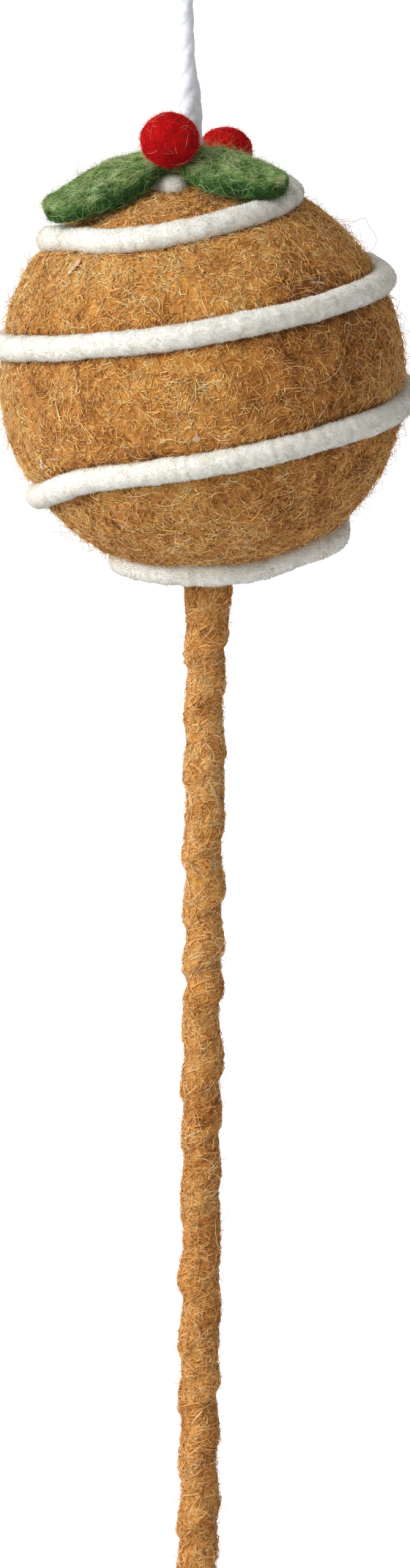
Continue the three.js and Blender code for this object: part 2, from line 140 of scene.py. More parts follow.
# Single hairs: fine ones that stand up, and long ones that stray
BALL_FUZZ = 9600
BALL_STRAYS = 500
STICK_FUZZ = 7000
STICK_STRAYS = 260
LEAF_FUZZ = 4200
BERRY_FUZZ = 5000
BERRY_STRAYS = 60
# Fuzz: shape and scale of the gamma spread of its lengths, how far it leans, its radius in millimetres
BALL_FUZZ_FORM = (2.4, 0.43), 1.3, 0.03
STICK_FUZZ_FORM = (2.4, 0.27), 1.3, 0.03
LEAF_FUZZ_FORM = (2.4, 0.36), 1.4, 0.018
BERRY_FUZZ_FORM = (3, 0.15), 1.0, 0.016
# Darker places, partly darker wool and partly painted shade on the ball's right and lower side: across and down in
# the photograph's pixels, reach in millimetres, depth
SHADE_AND_DARK_WOOL_PATCHES = (
    (560, 590, 14, 0.2), (470, 560, 9, 0.15), (610, 560, 10, 0.15), (540, 770, 12, 0.25),
    (480, 850, 10, 0.15), (640, 740, 12, 0.15), (420, 640, 6, 0.15), (505, 455, 5, 0.25),
    (430, 870, 7, 0.1), (300, 850, 14, 0.12),
)
# Smears of glue: places in the photograph's pixels along each, and its half width in millimetres
GLUE_WISPS = (
    (((134, 431), (131, 440), (121, 450), (113, 461)), 0.5),
    (((502, 475), (515, 473), (529, 475)), 0.25),
    (((314, 729), (321, 728), (328, 729)), 0.42),
    (((71, 754), (70, 763), (72, 772)), 0.42),
    (((73, 756), (88, 756), (104, 757)), 0.14),
    (((78, 432), (84, 428)), 0.25),
)
# They lie this high over the wool, in millimetres
GLUE_HEIGHT = 0.58
GLUE_STEPS = 40
# The long hair off the ball's right side: pixels of its laid part, heights in millimetres there, and its loop
HAIR_LAID = ((548, 376), (560, 371), (576, 364), (589, 362))
HAIR_HEIGHTS = (-0.2, 0.2, 0.8, 1.8)
HAIR_LOOP = ((603, 370), (613, 380), (616, 391), (614, 401), (607, 409), (596, 416), (580, 424))

# Chenille: azimuth in degrees round the ball, whole turns counted on, and latitude in degrees
CHENILLE_RADIUS = 2.35 * MM
CHENILLE_HEIGHT = 37.6 * MM
CHENILLE_BUMPS = ((0.7, 0.08), (2, 0.12), (8, 0.1))
# Its ribs in millimetres: pitch, width and height, and how low the skin lies under its pile
RIB_PITCH, RIB_WIDTH, RIB_HEIGHT, UNDER_PILE = 1.1, 5, 0.15, 0.12
CHENILLE_STEPS = 2200
CHENILLE_SIDES = 26
CHENILLE_ROUTE = (
    (100, -68.5), (180, -66.5), (203, -65.8), (240, -68.3), (272, -68.5), (300, -67.5), (318, -64.1),
    (327, -59.8), (336, -55.2), (345, -52), (355, -50.2), (364, -49.3), (372, -47.8), (405, -43),
    (460, -40), (510, -38.5), (548, -36), (566, -32.7), (578, -29), (591, -24.8), (604, -22.4),
    (631, -17.8), (658, -13.2), (673, -10.4), (697, -8), (720, -6), (820, 2.5), (915, 9.4),
    (943, 12.6), (964, 15.5), (982, 17.8), (1000, 21.3), (1019, 23.8), (1038, 26.3), (1059, 28),
    (1080, 28.3), (1180, 34), (1251, 40.3), (1283, 44.6), (1312, 46), (1332, 49), (1351, 52.9),
    (1367, 56.2), (1388, 59.6), (1412, 62.6), (1437, 64.5), (1500, 70), (1530, 72.5), (1590, 74),
    (1630, 74), (1662, 74.2), (1692, 75.2),
)
CHENILLE_TURNS = 5
# Where it stands off the ball: azimuth, its reach in degrees, and how far
LOOSE_AZIMUTH = 351
LOOSE_REACH = 15
LOOSE_HEIGHT = 1.3 * MM
# Its upper end is pressed into the wool
PRESSED_FROM = 1620
PRESSED_DEPTH = 0.8 * MM
WIRE_RADIUS = 0.4 * MM
# Pile: how many tufts, their lengths and the radius of their feet in millimetres
TUFTS = 34000, (0.12, 0.28), 0.15
FINE_PILE = 32000, (0.3, 0.62), 0.028

# Stick
STICK_LENGTH = float(np.dot(STICK_END - BALL, STICK_DOWN)) - BALL_RADIUS
STICK_TOP = STICK_END - STICK_DOWN * STICK_LENGTH
STICK_SIDE = unit(np.cross(np.array([0.0, 1.0, 0.0]), -STICK_DOWN))
STICK_BACK = np.cross(-STICK_DOWN, STICK_SIDE)
STICK_RINGS, STICK_SIDES = 560, 80
STICK_RADIUS = 3.2 * MM
STICK_FLARE, FLARE_REACH = 0.75 * MM, 7 * MM
STICK_BUMPS = ((6, 0.34), (2, 0.12), (0.8, 0.06))
STICK_STREAKS = ((1.1, 0.22), (6, 0.14))
STICK_PATCHES = ((3, 0.12), (1.2, 0.24), (0.6, 0.2))
STICK_TONE = 0.58
# Its darker and paler stretches: millimetres down the stick, reach, and by how much
STICK_STRETCHES = ((0, 9, -0.25), (42, 34, 0.18))
STICK_FADE, FADE_REACH = 0.11, 150 * MM
TIP_REACH = 3 * MM
WRAP_PITCH = 11.8 * MM
WRAP_HEIGHT = 0.72 * MM
# The share of its pitch over which each turn of the band rises, before it drops to the next
WRAP_RISE = 0.82
# A place in millimetres down the stick, past its end
PAST_END = 221
DARK_SPOT = STICK_TOP + STICK_DOWN * 24 * MM - STICK_BACK * STICK_RADIUS - STICK_SIDE * 1.2 * MM
SPOT_DEPTH, SPOT_REACH = 0.55, 1.5 * MM

# Studio
FLOOR_DROP = 100 * MM
FLOOR_SIZE = 30.0
FLOOR_GLOW = 0.45
AMBIENT = 0.38
SUN_STRENGTH = 3.12
SUN_ANGLE = math.radians(50)
SUN_DIRECTION = (-0.74, -0.56, 0.49)


# Numbers and places
def srgb(red, green, blue):
    """A colour given as screen values from 0 to 255, in the linear values that materials take."""
    shares = (value / 255 for value in (red, green, blue))
    linear = [s / 12.92 if s <= 0.04045 else ((s + 0.055) / 1.055) ** 2.4 for s in shares]
    return (*linear, 1.0)


def bell(offset, reach):
    """A smooth hump, 1 where the offset is 0 and nearly 0 past twice its reach."""
    return np.exp(-((offset / reach) ** 2))


def eased(share):
    """A share from 0 to 1 that starts and ends gently."""
    return share * share * (3 - 2 * share)


def smoothed(values, reach):
    """A row of values, each averaged with those around it."""
    kernel = np.hanning(2 * reach + 1)
    return np.convolve(np.pad(values, reach, mode="edge"), kernel / kernel.sum(), "valid")


def run_along(path):
    """The distance from a path's start to each of its points."""
    return np.concatenate([[0], np.cumsum(np.linalg.norm(np.diff(path, axis=0), axis=1))])


def along(points, count):
    """A smooth path of evenly shared points near the given ones."""
    share, fine = np.linspace(0, 1, len(points)), np.linspace(0, 1, count)
    reach = max(1, count // len(points))
    return np.stack([smoothed(np.interp(fine, share, column), reach) for column in points.T], -1)


def photo_place(across, down):
    """A place in the photograph's pixels as shares of the ball's radius, right of and above its middle."""
    return (across - BALL_ACROSS) / BALL_PIXELS, (BALL_DOWN - down) / BALL_PIXELS


def from_photo(right, up, out):
    """A direction given along the photograph's right, its up and out of it, in the part's frame."""
    return np.array([right, up * LEAN - out * STAND, up * STAND + out * LEAN])


def seen_at(across, down):
    """The direction from the ball's middle to the wool that is seen at a place in the photograph's pixels."""
    right, up = photo_place(across, down)
    return from_photo(right, up, math.sqrt(max(0.0, 1 - right**2 - up**2)))


class Noise:
    """Smooth random values in space, from -1 to 1, that repeat far apart."""

    SIDE = 32

    def __init__(self, seed, size):
        self.grid = default_rng(seed).uniform(-1, 1, (self.SIDE,) * 3)
        self.size = size

    def __call__(self, points):
        place = points / self.size
        cell = np.floor(place).astype(int)
        part = eased(place - cell)
        total = np.zeros(len(points))
        for corner in np.ndindex(2, 2, 2):
            at = (cell + corner) % self.SIDE
            weight = np.prod(np.where(corner, part, 1 - part), axis=1)
            total += weight * self.grid[at[:, 0], at[:, 1], at[:, 2]]
        return total


def relief(points, seed, layers):
    """The sum of noises at the points, each given as its size in millimetres and its height."""
    return sum(height * Noise(seed + k, size * MM)(points) for k, (size, height) in enumerate(layers))


# Meshes
def mesh_piece(name, points, quads, triangles, look, shades=None):
    """A smooth-shaded mesh object, with an optional value per point that its material reads as shade."""
    quads = np.asarray(quads, dtype=np.int32).reshape(-1, 4)
    triangles = np.asarray(triangles, dtype=np.int32).reshape(-1, 3)
    mesh = bpy.data.meshes.new(name)
    mesh.vertices.add(len(points))
    mesh.vertices.foreach_set("co", np.asarray(points, dtype=np.float32).ravel())
    corners = np.concatenate([quads.ravel(), triangles.ravel()])
    starts = np.concatenate([np.arange(len(quads)) * 4, quads.size + np.arange(len(triangles)) * 3])
    mesh.loops.add(len(corners))
    mesh.loops.foreach_set("vertex_index", corners)
    mesh.polygons.add(len(starts))
    mesh.polygons.foreach_set("loop_start", starts.astype(np.int32))
    mesh.update(calc_edges=True)
    mesh.shade_smooth()
    if shades is not None:
        attribute = mesh.attributes.new("shade", "FLOAT", "POINT")
        attribute.data.foreach_set("value", np.asarray(shades, dtype=np.float32))
    mesh.materials.append(look)
    piece = bpy.data.objects.new(name, mesh)
    bpy.context.scene.collection.objects.link(piece)
    return piece


def riding(piece, slot, *nodes):
    """Puts a piece on the ornament's body and hides the solids that it stands for; its slot is not used."""
    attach(piece, "ornament")
    if nodes:
        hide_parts(*nodes)


def angles_round(count):
    return np.arange(count) / count * 2 * math.pi


def around(angles, side, lift):
    """Directions at the angles, from side towards lift, round one line or round each point of a path."""
    cosine, sine = np.cos(angles)[:, None], np.sin(angles)[:, None]
    return cosine * side[..., None, :] + sine * lift[..., None, :]


def frames_along(path, reference):
    """Side and lift at each point of a path, lift being as near to reference as it can be."""
    ahead = unit(np.gradient(path, axis=0))
    side = unit(np.cross(ahead, reference))
    return side, np.cross(side, ahead)


def ring_quads(rings, sides, first=0):
    """The faces between neighbouring rings of points, facing out where the rings turn left as they rise."""
    ring, side = np.meshgrid(np.arange(rings - 1), np.arange(sides), indexing="ij")
    here = first + ring * sides
    after = (side + 1) % sides
    quads = np.stack([here + side, here + after, here + sides + after, here + sides + side], -1)
    return quads.reshape(-1, 4)


def end_fans(sides, start, first, stop, last):
    """Triangles from the point start to the ring from first on, and from stop to the ring from last on."""
    k = np.arange(sides)
    after = (k + 1) % sides
    bottom = np.stack([np.full(sides, start), first + after, first + k], -1)
    top = np.stack([np.full(sides, stop), last + k, last + after], -1)
    return np.concatenate([bottom, top])


def repeated(faces, count, size):
    """The faces of one form, for each of count forms of size points."""
    return (faces + (np.arange(count) * size)[:, None, None]).reshape(-1, faces.shape[1])


def capped(rings, cut=False):
    """Points, quads and end triangles of a closed tube through rings of shape (rings, sides, 3).

    The ends of a cut tube have points of their own, so that its sides are shaded up to a clean edge.
    """
    count, sides = rings.shape[:2]
    ends = np.stack([rings[0].mean(axis=0), rings[-1].mean(axis=0)])
    points = np.concatenate([rings.reshape(-1, 3), ends])
    start, stop = count * sides, count * sides + 1
    first, last = 0, (count - 1) * sides
    if cut:
        points = np.concatenate([points, rings[0], rings[-1]])
        first, last = stop + 1, stop + 1 + sides
    return points, ring_quads(count, sides), end_fans(sides, start, first, stop, last)


def joined(tubes):
    """Points, quads and triangles of several closed tubes."""
    points, quads, triangles, first = [], [], [], 0
    for rings in tubes:
        p, q, t = capped(rings, cut=True)
        points.append(p)
        quads.append(q + first)
        triangles.append(t + first)
        first += len(p)
    return np.concatenate(points), np.concatenate(quads), np.concatenate(triangles)


def ball_directions(count):
    """Directions and quads of a sphere made of six grids of count by count faces."""
    share = np.tan(np.linspace(-math.pi / 4, math.pi / 4, count + 1))
    u, v = np.meshgrid(share, share, indexing="ij")
    one = np.ones_like(u)
    sides = [(one, u, v), (-one, v, u), (v, one, u), (u, -one, v), (u, v, one), (v, u, -one)]
    points = unit(np.concatenate([np.stack(s, -1).reshape(-1, 3) for s in sides]))
    i, j = np.meshgrid(np.arange(count), np.arange(count), indexing="ij")
    at = (i * (count + 1) + j).ravel()
    face = np.stack([at, at + count + 1, at + count + 2, at + 1], -1)
    kept, places = np.unique(np.round(points, 7), axis=0, return_inverse=True)
    return kept, places.reshape(-1)[repeated(face, 6, (count + 1) ** 2)]


def random_directions(count, rng):
    return unit(rng.normal(size=(count, 3)))


# Hairs, their sides and a tuft's, and the points along one that stands
HAIR_SIDES = 3
FUZZ_STEPS = 5
# A direction that few hairs share, from which the sides of each are taken
ASKEW = np.array([0.31, 0.47, 0.83])


def hair_tubes(paths, radii):
    """Closed three-sided tubes through paths of shape (hairs, steps, 3), pointed at both ends."""
    hairs, steps = paths.shape[:2]
    ahead = unit(np.gradient(paths, axis=1))
    across = unit(np.cross(ahead, unit(ahead[:, ::-1] + ASKEW)))
    width = radii[:, None] * np.sin(math.pi * np.linspace(0.12, 0.88, steps)) ** 0.5
    out = around(angles_round(HAIR_SIDES), across, np.cross(across, ahead))
    rings = (paths[:, :, None] + out * width[..., None, None])[:, 1:-1]
    points = np.concatenate([paths[:, :1], rings.reshape(hairs, -1, 3), paths[:, -1:]], axis=1)
    size = points.shape[1]
    quads = ring_quads(steps - 2, HAIR_SIDES, 1)
    ends = end_fans(HAIR_SIDES, 0, 1, size - 1, size - 1 - HAIR_SIDES)
    return points.reshape(-1, 3), repeated(quads, hairs, size), repeated(ends, hairs, size)


def laid_paths(points, heading, settle, lengths, curls, lifts, rng, steps):
    """Paths of hairs that creep over a surface, with lengths and two lifts in millimetres.

    settle gives the surface's nearest points and normals.
    """
    paths = []
    stride = lengths * MM / (steps - 1)
    wobble = rng.normal(0, 0.16, len(points))
    for step in range(steps):
        surface, normal = settle(points)
        heading = unit(heading - normal * np.sum(heading * normal, axis=1)[:, None])
        share = step / (steps - 1)
        rise = lifts[0] + (lifts[1] - lifts[0]) * np.sin(math.pi * share) ** 0.7
        paths.append(surface + normal * rise[:, None] * MM)
        turn = (curls + wobble * math.sin(5 * share)) / (steps - 1)
        side = np.cross(normal, heading)
        heading = heading * np.cos(turn)[:, None] + side * np.sin(turn)[:, None]
        points = surface + heading * stride[:, None]
    return np.stack(paths, axis=1)


def standing_paths(points, normal, lengths, lean, rng):
    """Paths of hairs that rise from a surface and bend over."""
    sideways = unit(np.cross(normal, rng.normal(size=points.shape)))
    bend = rng.normal(0, lean, len(points))[:, None]
    twist = unit(np.cross(normal, sideways))
    drift = rng.normal(0, lean * 0.6, len(points))[:, None]
    share = np.linspace(0, 1, FUZZ_STEPS)[:, None, None]
    reach = lengths[:, None] * (share * normal + share**2 * bend * sideways + share**3 * drift * twist)
    return np.swapaxes(points[None] + reach, 0, 1)


def hair_piece(name, paths, radius, look, rng, tones=None):
    """One object of many hairs, each with a shade of its own, about the tones where they are given."""
    hairs = len(paths)
    points, quads, triangles = hair_tubes(paths, radius * MM * rng.uniform(0.75, 1.25, hairs))
    shade = rng.uniform(0, 1, hairs) if tones is None else tones + rng.normal(0, 0.1, hairs)
    shades = np.repeat(np.clip(shade, 0, 1), len(points) // hairs)
    return mesh_piece(name, points, quads, triangles, look, shades)


def lock_piece(name, paths, each, spread, radius, look, rng, tones):
    """One object of locks, each of several hairs that cross over and part about one path."""
    hairs = np.repeat(paths, each, axis=0)
    share = np.linspace(0, 1, paths.shape[1])[None, :, None]
    start, stop = rng.normal(0, spread * MM, (2, len(hairs), 1, 3))
    hairs = hairs + start * (1 - share) + stop * share
    return hair_piece(name, hairs, radius, look, rng, np.repeat(tones, each))


def fuzz_piece(name, surface, normal, spread, lean, radius, look, rng, tones=None):
    """One object of fine hairs that stand off a surface, their lengths from a gamma spread in millimetres."""
    lengths = rng.gamma(*spread, len(surface)) * MM
    paths = standing_paths(surface, normal, lengths, lean, rng)
    return hair_piece(name, paths, radius, look, rng, tones)


def spike_piece(name, points, normal, lengths, radius, look, rng):
    """One object of short, straight tufts of pile that stand on a surface."""
    sideways = unit(np.cross(normal, rng.normal(size=points.shape)))
    lean = rng.normal(0, 0.5, len(points))[:, None]
    tips = points + lengths[:, None] * unit(normal + lean * sideways)
    feet = points - normal * radius
    base = feet[:, None] + radius * around(angles_round(HAIR_SIDES), sideways, np.cross(normal, sideways))
    corners = np.concatenate([base, tips[:, None]], axis=1).reshape(-1, 3)
    faces = repeated(np.array([[0, 2, 1], [0, 1, 3], [1, 2, 3], [2, 0, 3]]), len(points), 4)
    return mesh_piece(name, corners, [], faces, look, np.repeat(rng.uniform(0, 1, len(points)), 4))


# Materials
def fill(tree, node, inputs):
    """Sets a node's inputs, by name or number, to values, or links them to sockets."""
    for key, value in inputs.items():
        if isinstance(value, bpy.types.NodeSocket):
            tree.links.new(value, node.inputs[key])
        else:
            node.inputs[key].default_value = value


def add_node(tree, kind, inputs, **settings):
    """A new shader node of a kind, with its inputs and its own settings."""
    node = tree.nodes.new("ShaderNode" + kind)
    for name, value in settings.items():
        setattr(node, name, value)
    fill(tree, node, inputs)
    return node


class Look:
    """A procedural material under construction, with short ways to add its nodes."""

    def __init__(self, name, roughness=0.9, sheen=0.0, sheen_roughness=0.5, tint=WHITE):
        self.made = bpy.data.materials.new(name)
        self.made.use_nodes = True
        self.tree = self.made.node_tree
        self.place = self.node("TexCoord", {}).outputs["Object"]
        self.shader = self.tree.nodes["Principled BSDF"]
        self.set({"Roughness": roughness, "Specular IOR Level": 0.25})
        self.set({"Sheen Weight": sheen, "Sheen Roughness": sheen_roughness, "Sheen Tint": tint})

    def set(self, inputs):
        fill(self.tree, self.shader, inputs)

    def node(self, kind, inputs, **settings):
        return add_node(self.tree, kind, inputs, **settings)

    def noise(self, size, detail=3.0, roughness=0.55, place=None):
        inputs = {"Scale": 1 / size, "Detail": detail, "Roughness": roughness, "Vector": place or self.place}
        return self.node("TexNoise", inputs).outputs["Fac"]

    def vector_math(self, operation, first, second):
        return self.node("VectorMath", {0: first, 1: second}, operation=operation).outputs["Vector"]

    def threads(self, width, length):
        """Thin wavering threads that cross three ways: 1 on them and 0 between them."""
        sway = self.node("TexNoise", {"Scale": 1 / length, "Vector": self.place}).outputs["Color"]
        shift = self.vector_math("MULTIPLY", sway, (1.2 * length,) * 3)
        swayed = self.vector_math("ADD", self.place, shift)
        top = None
        for axis in range(3):
            stretch = [1.0] * 3
            stretch[axis] = 3 * width / length
            value = self.noise(3 * width, 1, place=self.vector_math("MULTIPLY", swayed, stretch))
            ridge = self.ramp(value, (0.45, 0, 0, 0), (0.5, 255, 255, 255), (0.55, 0, 0, 0))
            top = self.blend("LIGHTEN", 1.0, top, ridge) if top else ridge
        return top

    def shade(self):
        return self.node("Attribute", {}, attribute_name="shade").outputs["Fac"]

    def ramp(self, value, *stops):
        """A colour for a value, by stops, each a place and screen values from 0 to 255."""
        node = self.node("ValToRGB", {"Fac": value})
        elements = node.color_ramp.elements
        while len(elements) < len(stops):
            elements.new(0.5)
        for element, (place, *color) in zip(elements, stops):
            element.position = place
            element.color = srgb(*color)
        return node.outputs["Color"]

    def blend(self, kind, share, first, second):
        """Mixes two colours, each a socket or a colour value, by a share that is a socket or a number."""
        inputs = {0: share, 6: first, 7: second}
        return self.node("Mix", inputs, data_type="RGBA", blend_type=kind).outputs[2]

    def bump(self, value, depth):
        self.set({"Normal": self.node("Bump", {"Height": value, "Distance": depth}).outputs["Normal"]})

    def color(self, socket):
        self.set({"Base Color": socket})
        return self.made


def wool_look(name, gap_shade):
    """Matted wool under its hairs, in the tones of its patches, with painted shade between its fibres."""
    look = Look(name, roughness=0.95, sheen=0.1)
    tone = look.ramp(look.shade(), *WOOL_STOPS)
    threads = look.threads(0.16 * MM, 1.6 * MM)
    # Painted shade: the given colour darkens the gaps between the threads
    threads_and_gap_shade = look.ramp(threads, (0.0, *gap_shade), (0.6, 236, 230, 222), (1.0, 255, 255, 255))
    look.bump(threads, 0.05 * MM)
    return look.color(look.blend("MULTIPLY", 0.9, tone, threads_and_gap_shade))


def hair_look(name, *stops, sheen=0.15, tint=WHITE):
    """Fibres, each with one of several shades, and a little darker in patches."""
    look = Look(name, roughness=0.75, sheen=sheen, tint=tint)
    patch = look.ramp(look.noise(3 * MM), (0.35, 232, 222, 210), (0.62, 255, 255, 255))
    return look.color(look.blend("MULTIPLY", 1.0, look.ramp(look.shade(), *stops), patch))


def pile_look(name, shadow, body, light, reach=1.5 * MM):
    """Pile, cotton or dried glue: a soft, almost even tone that light spreads in, by a reach in metres."""
    look = Look(name, roughness=1.0, sheen=0.35, sheen_roughness=0.4)
    if reach:
        look.set({"Subsurface Weight": 1.0, "Subsurface Radius": (1, 1, 1), "Subsurface Scale": reach})
    look.bump(look.noise(0.35 * MM), 0.05 * MM)
    return look.color(look.ramp(look.noise(1.1 * MM, 4), (0.3, *shadow), (0.5, *body), (0.7, *light)))


def wire_look():
    """The chenille stem's steel wire."""
    look = Look("wire", roughness=0.35)
    look.set({"Metallic": 1.0})
    return look.color(look.ramp(look.noise(0.6 * MM), (0.3, 150, 152, 154), (0.7, 188, 190, 192)))


def leaf_look():
    """Green felt with painted light: paler on its upper face, and darker with painted shade on its cut edge."""
    look = Look("leaf_felt", roughness=0.95, sheen=0.3)
    mottle = look.noise(1.3 * MM, 5, 0.65)
    # Painted light on the upper face and painted shade on the cut edge, mixed by the shade attribute
    face = look.ramp(mottle, (0.34, 58, 100, 44), (0.5, 104, 150, 72), (0.66, 156, 190, 106))
    edge = look.ramp(mottle, (0.3, 16, 56, 24), (0.5, 34, 84, 36), (0.75, 62, 112, 54))
    look.bump(look.noise(0.6 * MM, 4), 0.16 * MM)
    return look.color(look.blend("MIX", look.shade(), edge, face))


def berry_look():
    """Red felt, pressed hard: mottled, with crossing fibres."""
    look = Look("berry_felt", roughness=0.95, sheen=0.3, tint=RED_SHEEN)
    mottle = look.noise(2.2 * MM, 5, 0.6)
    look.bump(look.noise(0.4 * MM, 4), 0.08 * MM)
    return look.color(look.ramp(mottle, (0.3, 200, 2, 12), (0.5, 226, 6, 16), (0.72, 236, 14, 24)))


# Stops of the colour ramps: a place from 0 to 1 and the colour there in screen values
WOOL_STOPS = (0.0, 124, 78, 36), (0.35, 204, 142, 70), (0.65, 236, 178, 94), (1.0, 248, 202, 120)
HAIR_STOPS = (
    (0.0, 146, 88, 36), (0.3, 222, 152, 74), (0.55, 255, 202, 112), (0.8, 255, 218, 140),
    (1.0, 255, 234, 174),
)
STICK_STOPS = (
    (0.0, 154, 94, 44), (0.3, 216, 146, 76), (0.55, 250, 188, 106), (0.8, 255, 206, 132),
    (1.0, 255, 226, 168),
)
PALE_STOPS = (0.0, 244, 190, 116), (1.0, 255, 228, 180)
FUZZ_STOPS = (0.0, 176, 120, 66), (0.5, 228, 176, 112), (1.0, 252, 226, 180)
LEAF_STOPS = (0.0, 22, 66, 24), (0.5, 106, 154, 74), (1.0, 210, 230, 164)
LEAF_PALE_STOPS = (0.0, 140, 176, 98), (0.5, 196, 214, 156), (1.0, 238, 242, 218)
BERRY_STOPS = (0.0, 176, 0, 8), (0.5, 232, 8, 18), (0.8, 246, 10, 18), (1.0, 252, 36, 38)
WARM_SHEEN = srgb(255, 196, 128)
LEAF_SHEEN = srgb(196, 232, 150)
RED_SHEEN = srgb(255, 60, 60)

# The colour given to each is the painted shade between its fibres
WOOL = wool_look("ball_wool", (206, 174, 128))
STICK_WOOL = wool_look("stick_wool", (200, 168, 126))
WOOL_HAIR = hair_look("wool_hair", *HAIR_STOPS, tint=WARM_SHEEN)
STICK_HAIR = hair_look("stick_hair", *STICK_STOPS, tint=WARM_SHEEN)
PALE_HAIR = hair_look("pale_wool_hair", *PALE_STOPS, tint=WARM_SHEEN)
FUZZ = hair_look("wool_fuzz", *FUZZ_STOPS)
DARK_HAIR = hair_look("dark_wool_hair", (0.0, 130, 96, 66), (1.0, 160, 124, 90))
CHENILLE = pile_look("chenille", (238, 236, 224), (246, 245, 235), (252, 251, 243))
CHENILLE_PILE = hair_look("chenille_pile", (0.0, 242, 241, 230), (1.0, 253, 252, 245), sheen=0.3)
DRIED_GLUE = pile_look("dried_glue", (186, 140, 104), (206, 168, 138), (226, 202, 182))
LEAF = leaf_look()
LEAF_HAIR = hair_look("leaf_hair", *LEAF_STOPS, tint=LEAF_SHEEN)
LEAF_PALE = hair_look("leaf_pale_hair", *LEAF_PALE_STOPS)
BERRY = berry_look()
BERRY_HAIR = hair_look("berry_hair", *BERRY_STOPS, sheen=0.1, tint=RED_SHEEN)
BERRY_PALE = hair_look("berry_pale_hair", (0.0, 246, 120, 110), (1.0, 252, 200, 190))
COTTON = pile_look("cotton", (216, 219, 225), (230, 233, 239), (240, 242, 247), reach=0)


# Camera
def camera():
    data = bpy.data.cameras.new("camera")
    data.sensor_width = SENSOR
    data.lens = SENSOR * CAMERA_DISTANCE / (PHOTO_HEIGHT / PIXELS_PER_MM * MM)
    eye = bpy.data.objects.new("camera", data)
    eye.location = CAMERA_AIM - np.array([0.0, STAND, -LEAN]) * CAMERA_DISTANCE
    eye.rotation_euler = (math.pi / 2 - CAMERA_PITCH, 0, 0)
    bpy.context.scene.collection.objects.link(eye)
    bpy.context.scene.camera = eye


# Cord
def bezier(corners, count):
    t = np.linspace(0, 1, count)[:, None]
    a, b, c, d = (np.array(p) for p in corners)
    return (1 - t) ** 3 * a + 3 * (1 - t) ** 2 * t * b + 3 * (1 - t) * t**2 * c + t**3 * d


def aside(path, places):
    """How far a path's points stand to the right at their heights."""
    heights, offsets = MM * np.array(places).T
    return np.interp(path[:, 2], heights, offsets)


def cord_path():
    """The cord's centreline from the knot up in front, over the hook and down behind to the knot."""
    tail = np.linspace(low("cord_tail_front")[2], SWING_Z, TAIL_STEPS)
    z = np.concatenate([tail, np.linspace(SWING_Z, TWIST_Z, LEG_STEPS)[1:]])
    front = np.stack([np.zeros(len(z)), np.full(len(z), -LEG_OFFSET), z], -1)
    rise = (LOOP_CENTRE_Z - TWIST_Z) / 3
    corners = (
        (0, -LEG_OFFSET, TWIST_Z),
        (0, -LEG_OFFSET, TWIST_Z + rise),
        (0, -LOOP_RADIUS, LOOP_CENTRE_Z - rise),
        (0, -LOOP_RADIUS, LOOP_CENTRE_Z),
    )
    angle = np.linspace(math.pi, 0, BEND_STEPS)
    round_bend = np.stack([np.zeros(len(angle)), np.cos(angle), np.sin(angle)], -1)
    bend = LOOP_RADIUS * round_bend + LOOP_CENTRE_Z * UP
    half = np.concatenate([front, bezier(corners, RISE_STEPS)[1:]])
    back = half[::-1] * (1, -1, 1)
    half[:, 0] = aside(half, FRONT_ASIDE)
    back[:, 0] = aside(back, REAR_ASIDE)
    return np.concatenate([half, bend[1:-1], back])


def twisted(path):
    """Rings of a cord of three strands laid round a path close to the YZ plane, loose near the ball."""
    side, lift = frames_along(path, np.array([1.0, 0.0, 0.0]))
    run = run_along(path)[:, None]
    angles = angles_round(CORD_SIDES)
    out = around(angles, side, lift)
    strands = np.abs(np.cos(1.5 * (angles + 2 * math.pi * run / STRAND_PITCH))) ** 0.6
    loose = 1 + LOOSENING * bell(path[:, 2:] - LOOSE_Z, LOOSE_SPREAD)
    radius = (CORD_CORE + STRAND_RISE * strands) * loose
    yarn = YARN_RISE * np.sin(YARNS * angles - 2 * math.pi * run / YARN_PITCH)
    flat = (path[:, None] + out * CORD_CORE).reshape(-1, 3)
    rough = MM * relief(flat, 41, CORD_BUMPS).reshape(radius.shape)
    return path[:, None] + out * (radius + yarn + rough)[..., None]


def cord():
    path = cord_path()
    rings = twisted(path)
    free = np.nonzero(path[:, 2] >= SWING_Z - 1e-7)[0]
    first, last = free[0], free[-1]
    piece = mesh_piece("hanging_cord", *capped(rings[first : last + 1], cut=True), COTTON)
    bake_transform(piece)
    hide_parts("cord_leg_front", "cord_leg_rear", "hanging_loop")
    tails = mesh_piece("cord_tails", *joined([rings[: first + 1], rings[last:]]), COTTON)
    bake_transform(tails)
    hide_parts("cord_tail_front", "cord_tail_rear")


# Ball
def chenille_latitude(azimuth):
    """The latitude of the chenille's centre at azimuths that count on from turn to turn, in degrees."""
    azimuths, latitudes = np.array(CHENILLE_ROUTE, dtype=float).T
    fine = np.linspace(azimuths[0], azimuths[-1], 2000)
    smooth = smoothed(np.interp(fine, azimuths, latitudes), 14)
    return np.interp(azimuth, fine, smooth, left=np.nan, right=np.nan)


def chenille_loose(azimuth):
    """How loosely the chenille lies at azimuths that count on from turn to turn, from 0 to 1."""
    return bell(azimuth - LOOSE_AZIMUTH, LOOSE_REACH)


def chenille_distance(directions):
    """How far each direction is from the chenille's line on the wool, and how loosely that lies there."""
    azimuth = np.degrees(np.arctan2(directions[:, 1], directions[:, 0])) % 360
    latitude = np.degrees(np.arcsin(np.clip(directions[:, 2], -1, 1)))
    nearest = np.full(len(directions), 90.0)
    loose = np.zeros(len(directions))
    for turn in range(CHENILLE_TURNS):
        gap = np.abs(latitude - chenille_latitude(azimuth + 360 * turn))
        closer = gap < nearest
        nearest = np.where(closer, gap, nearest)
        loose = np.where(closer, chenille_loose(azimuth + 360 * turn), loose)
    return np.radians(nearest) * WOOL_RADIUS, loose


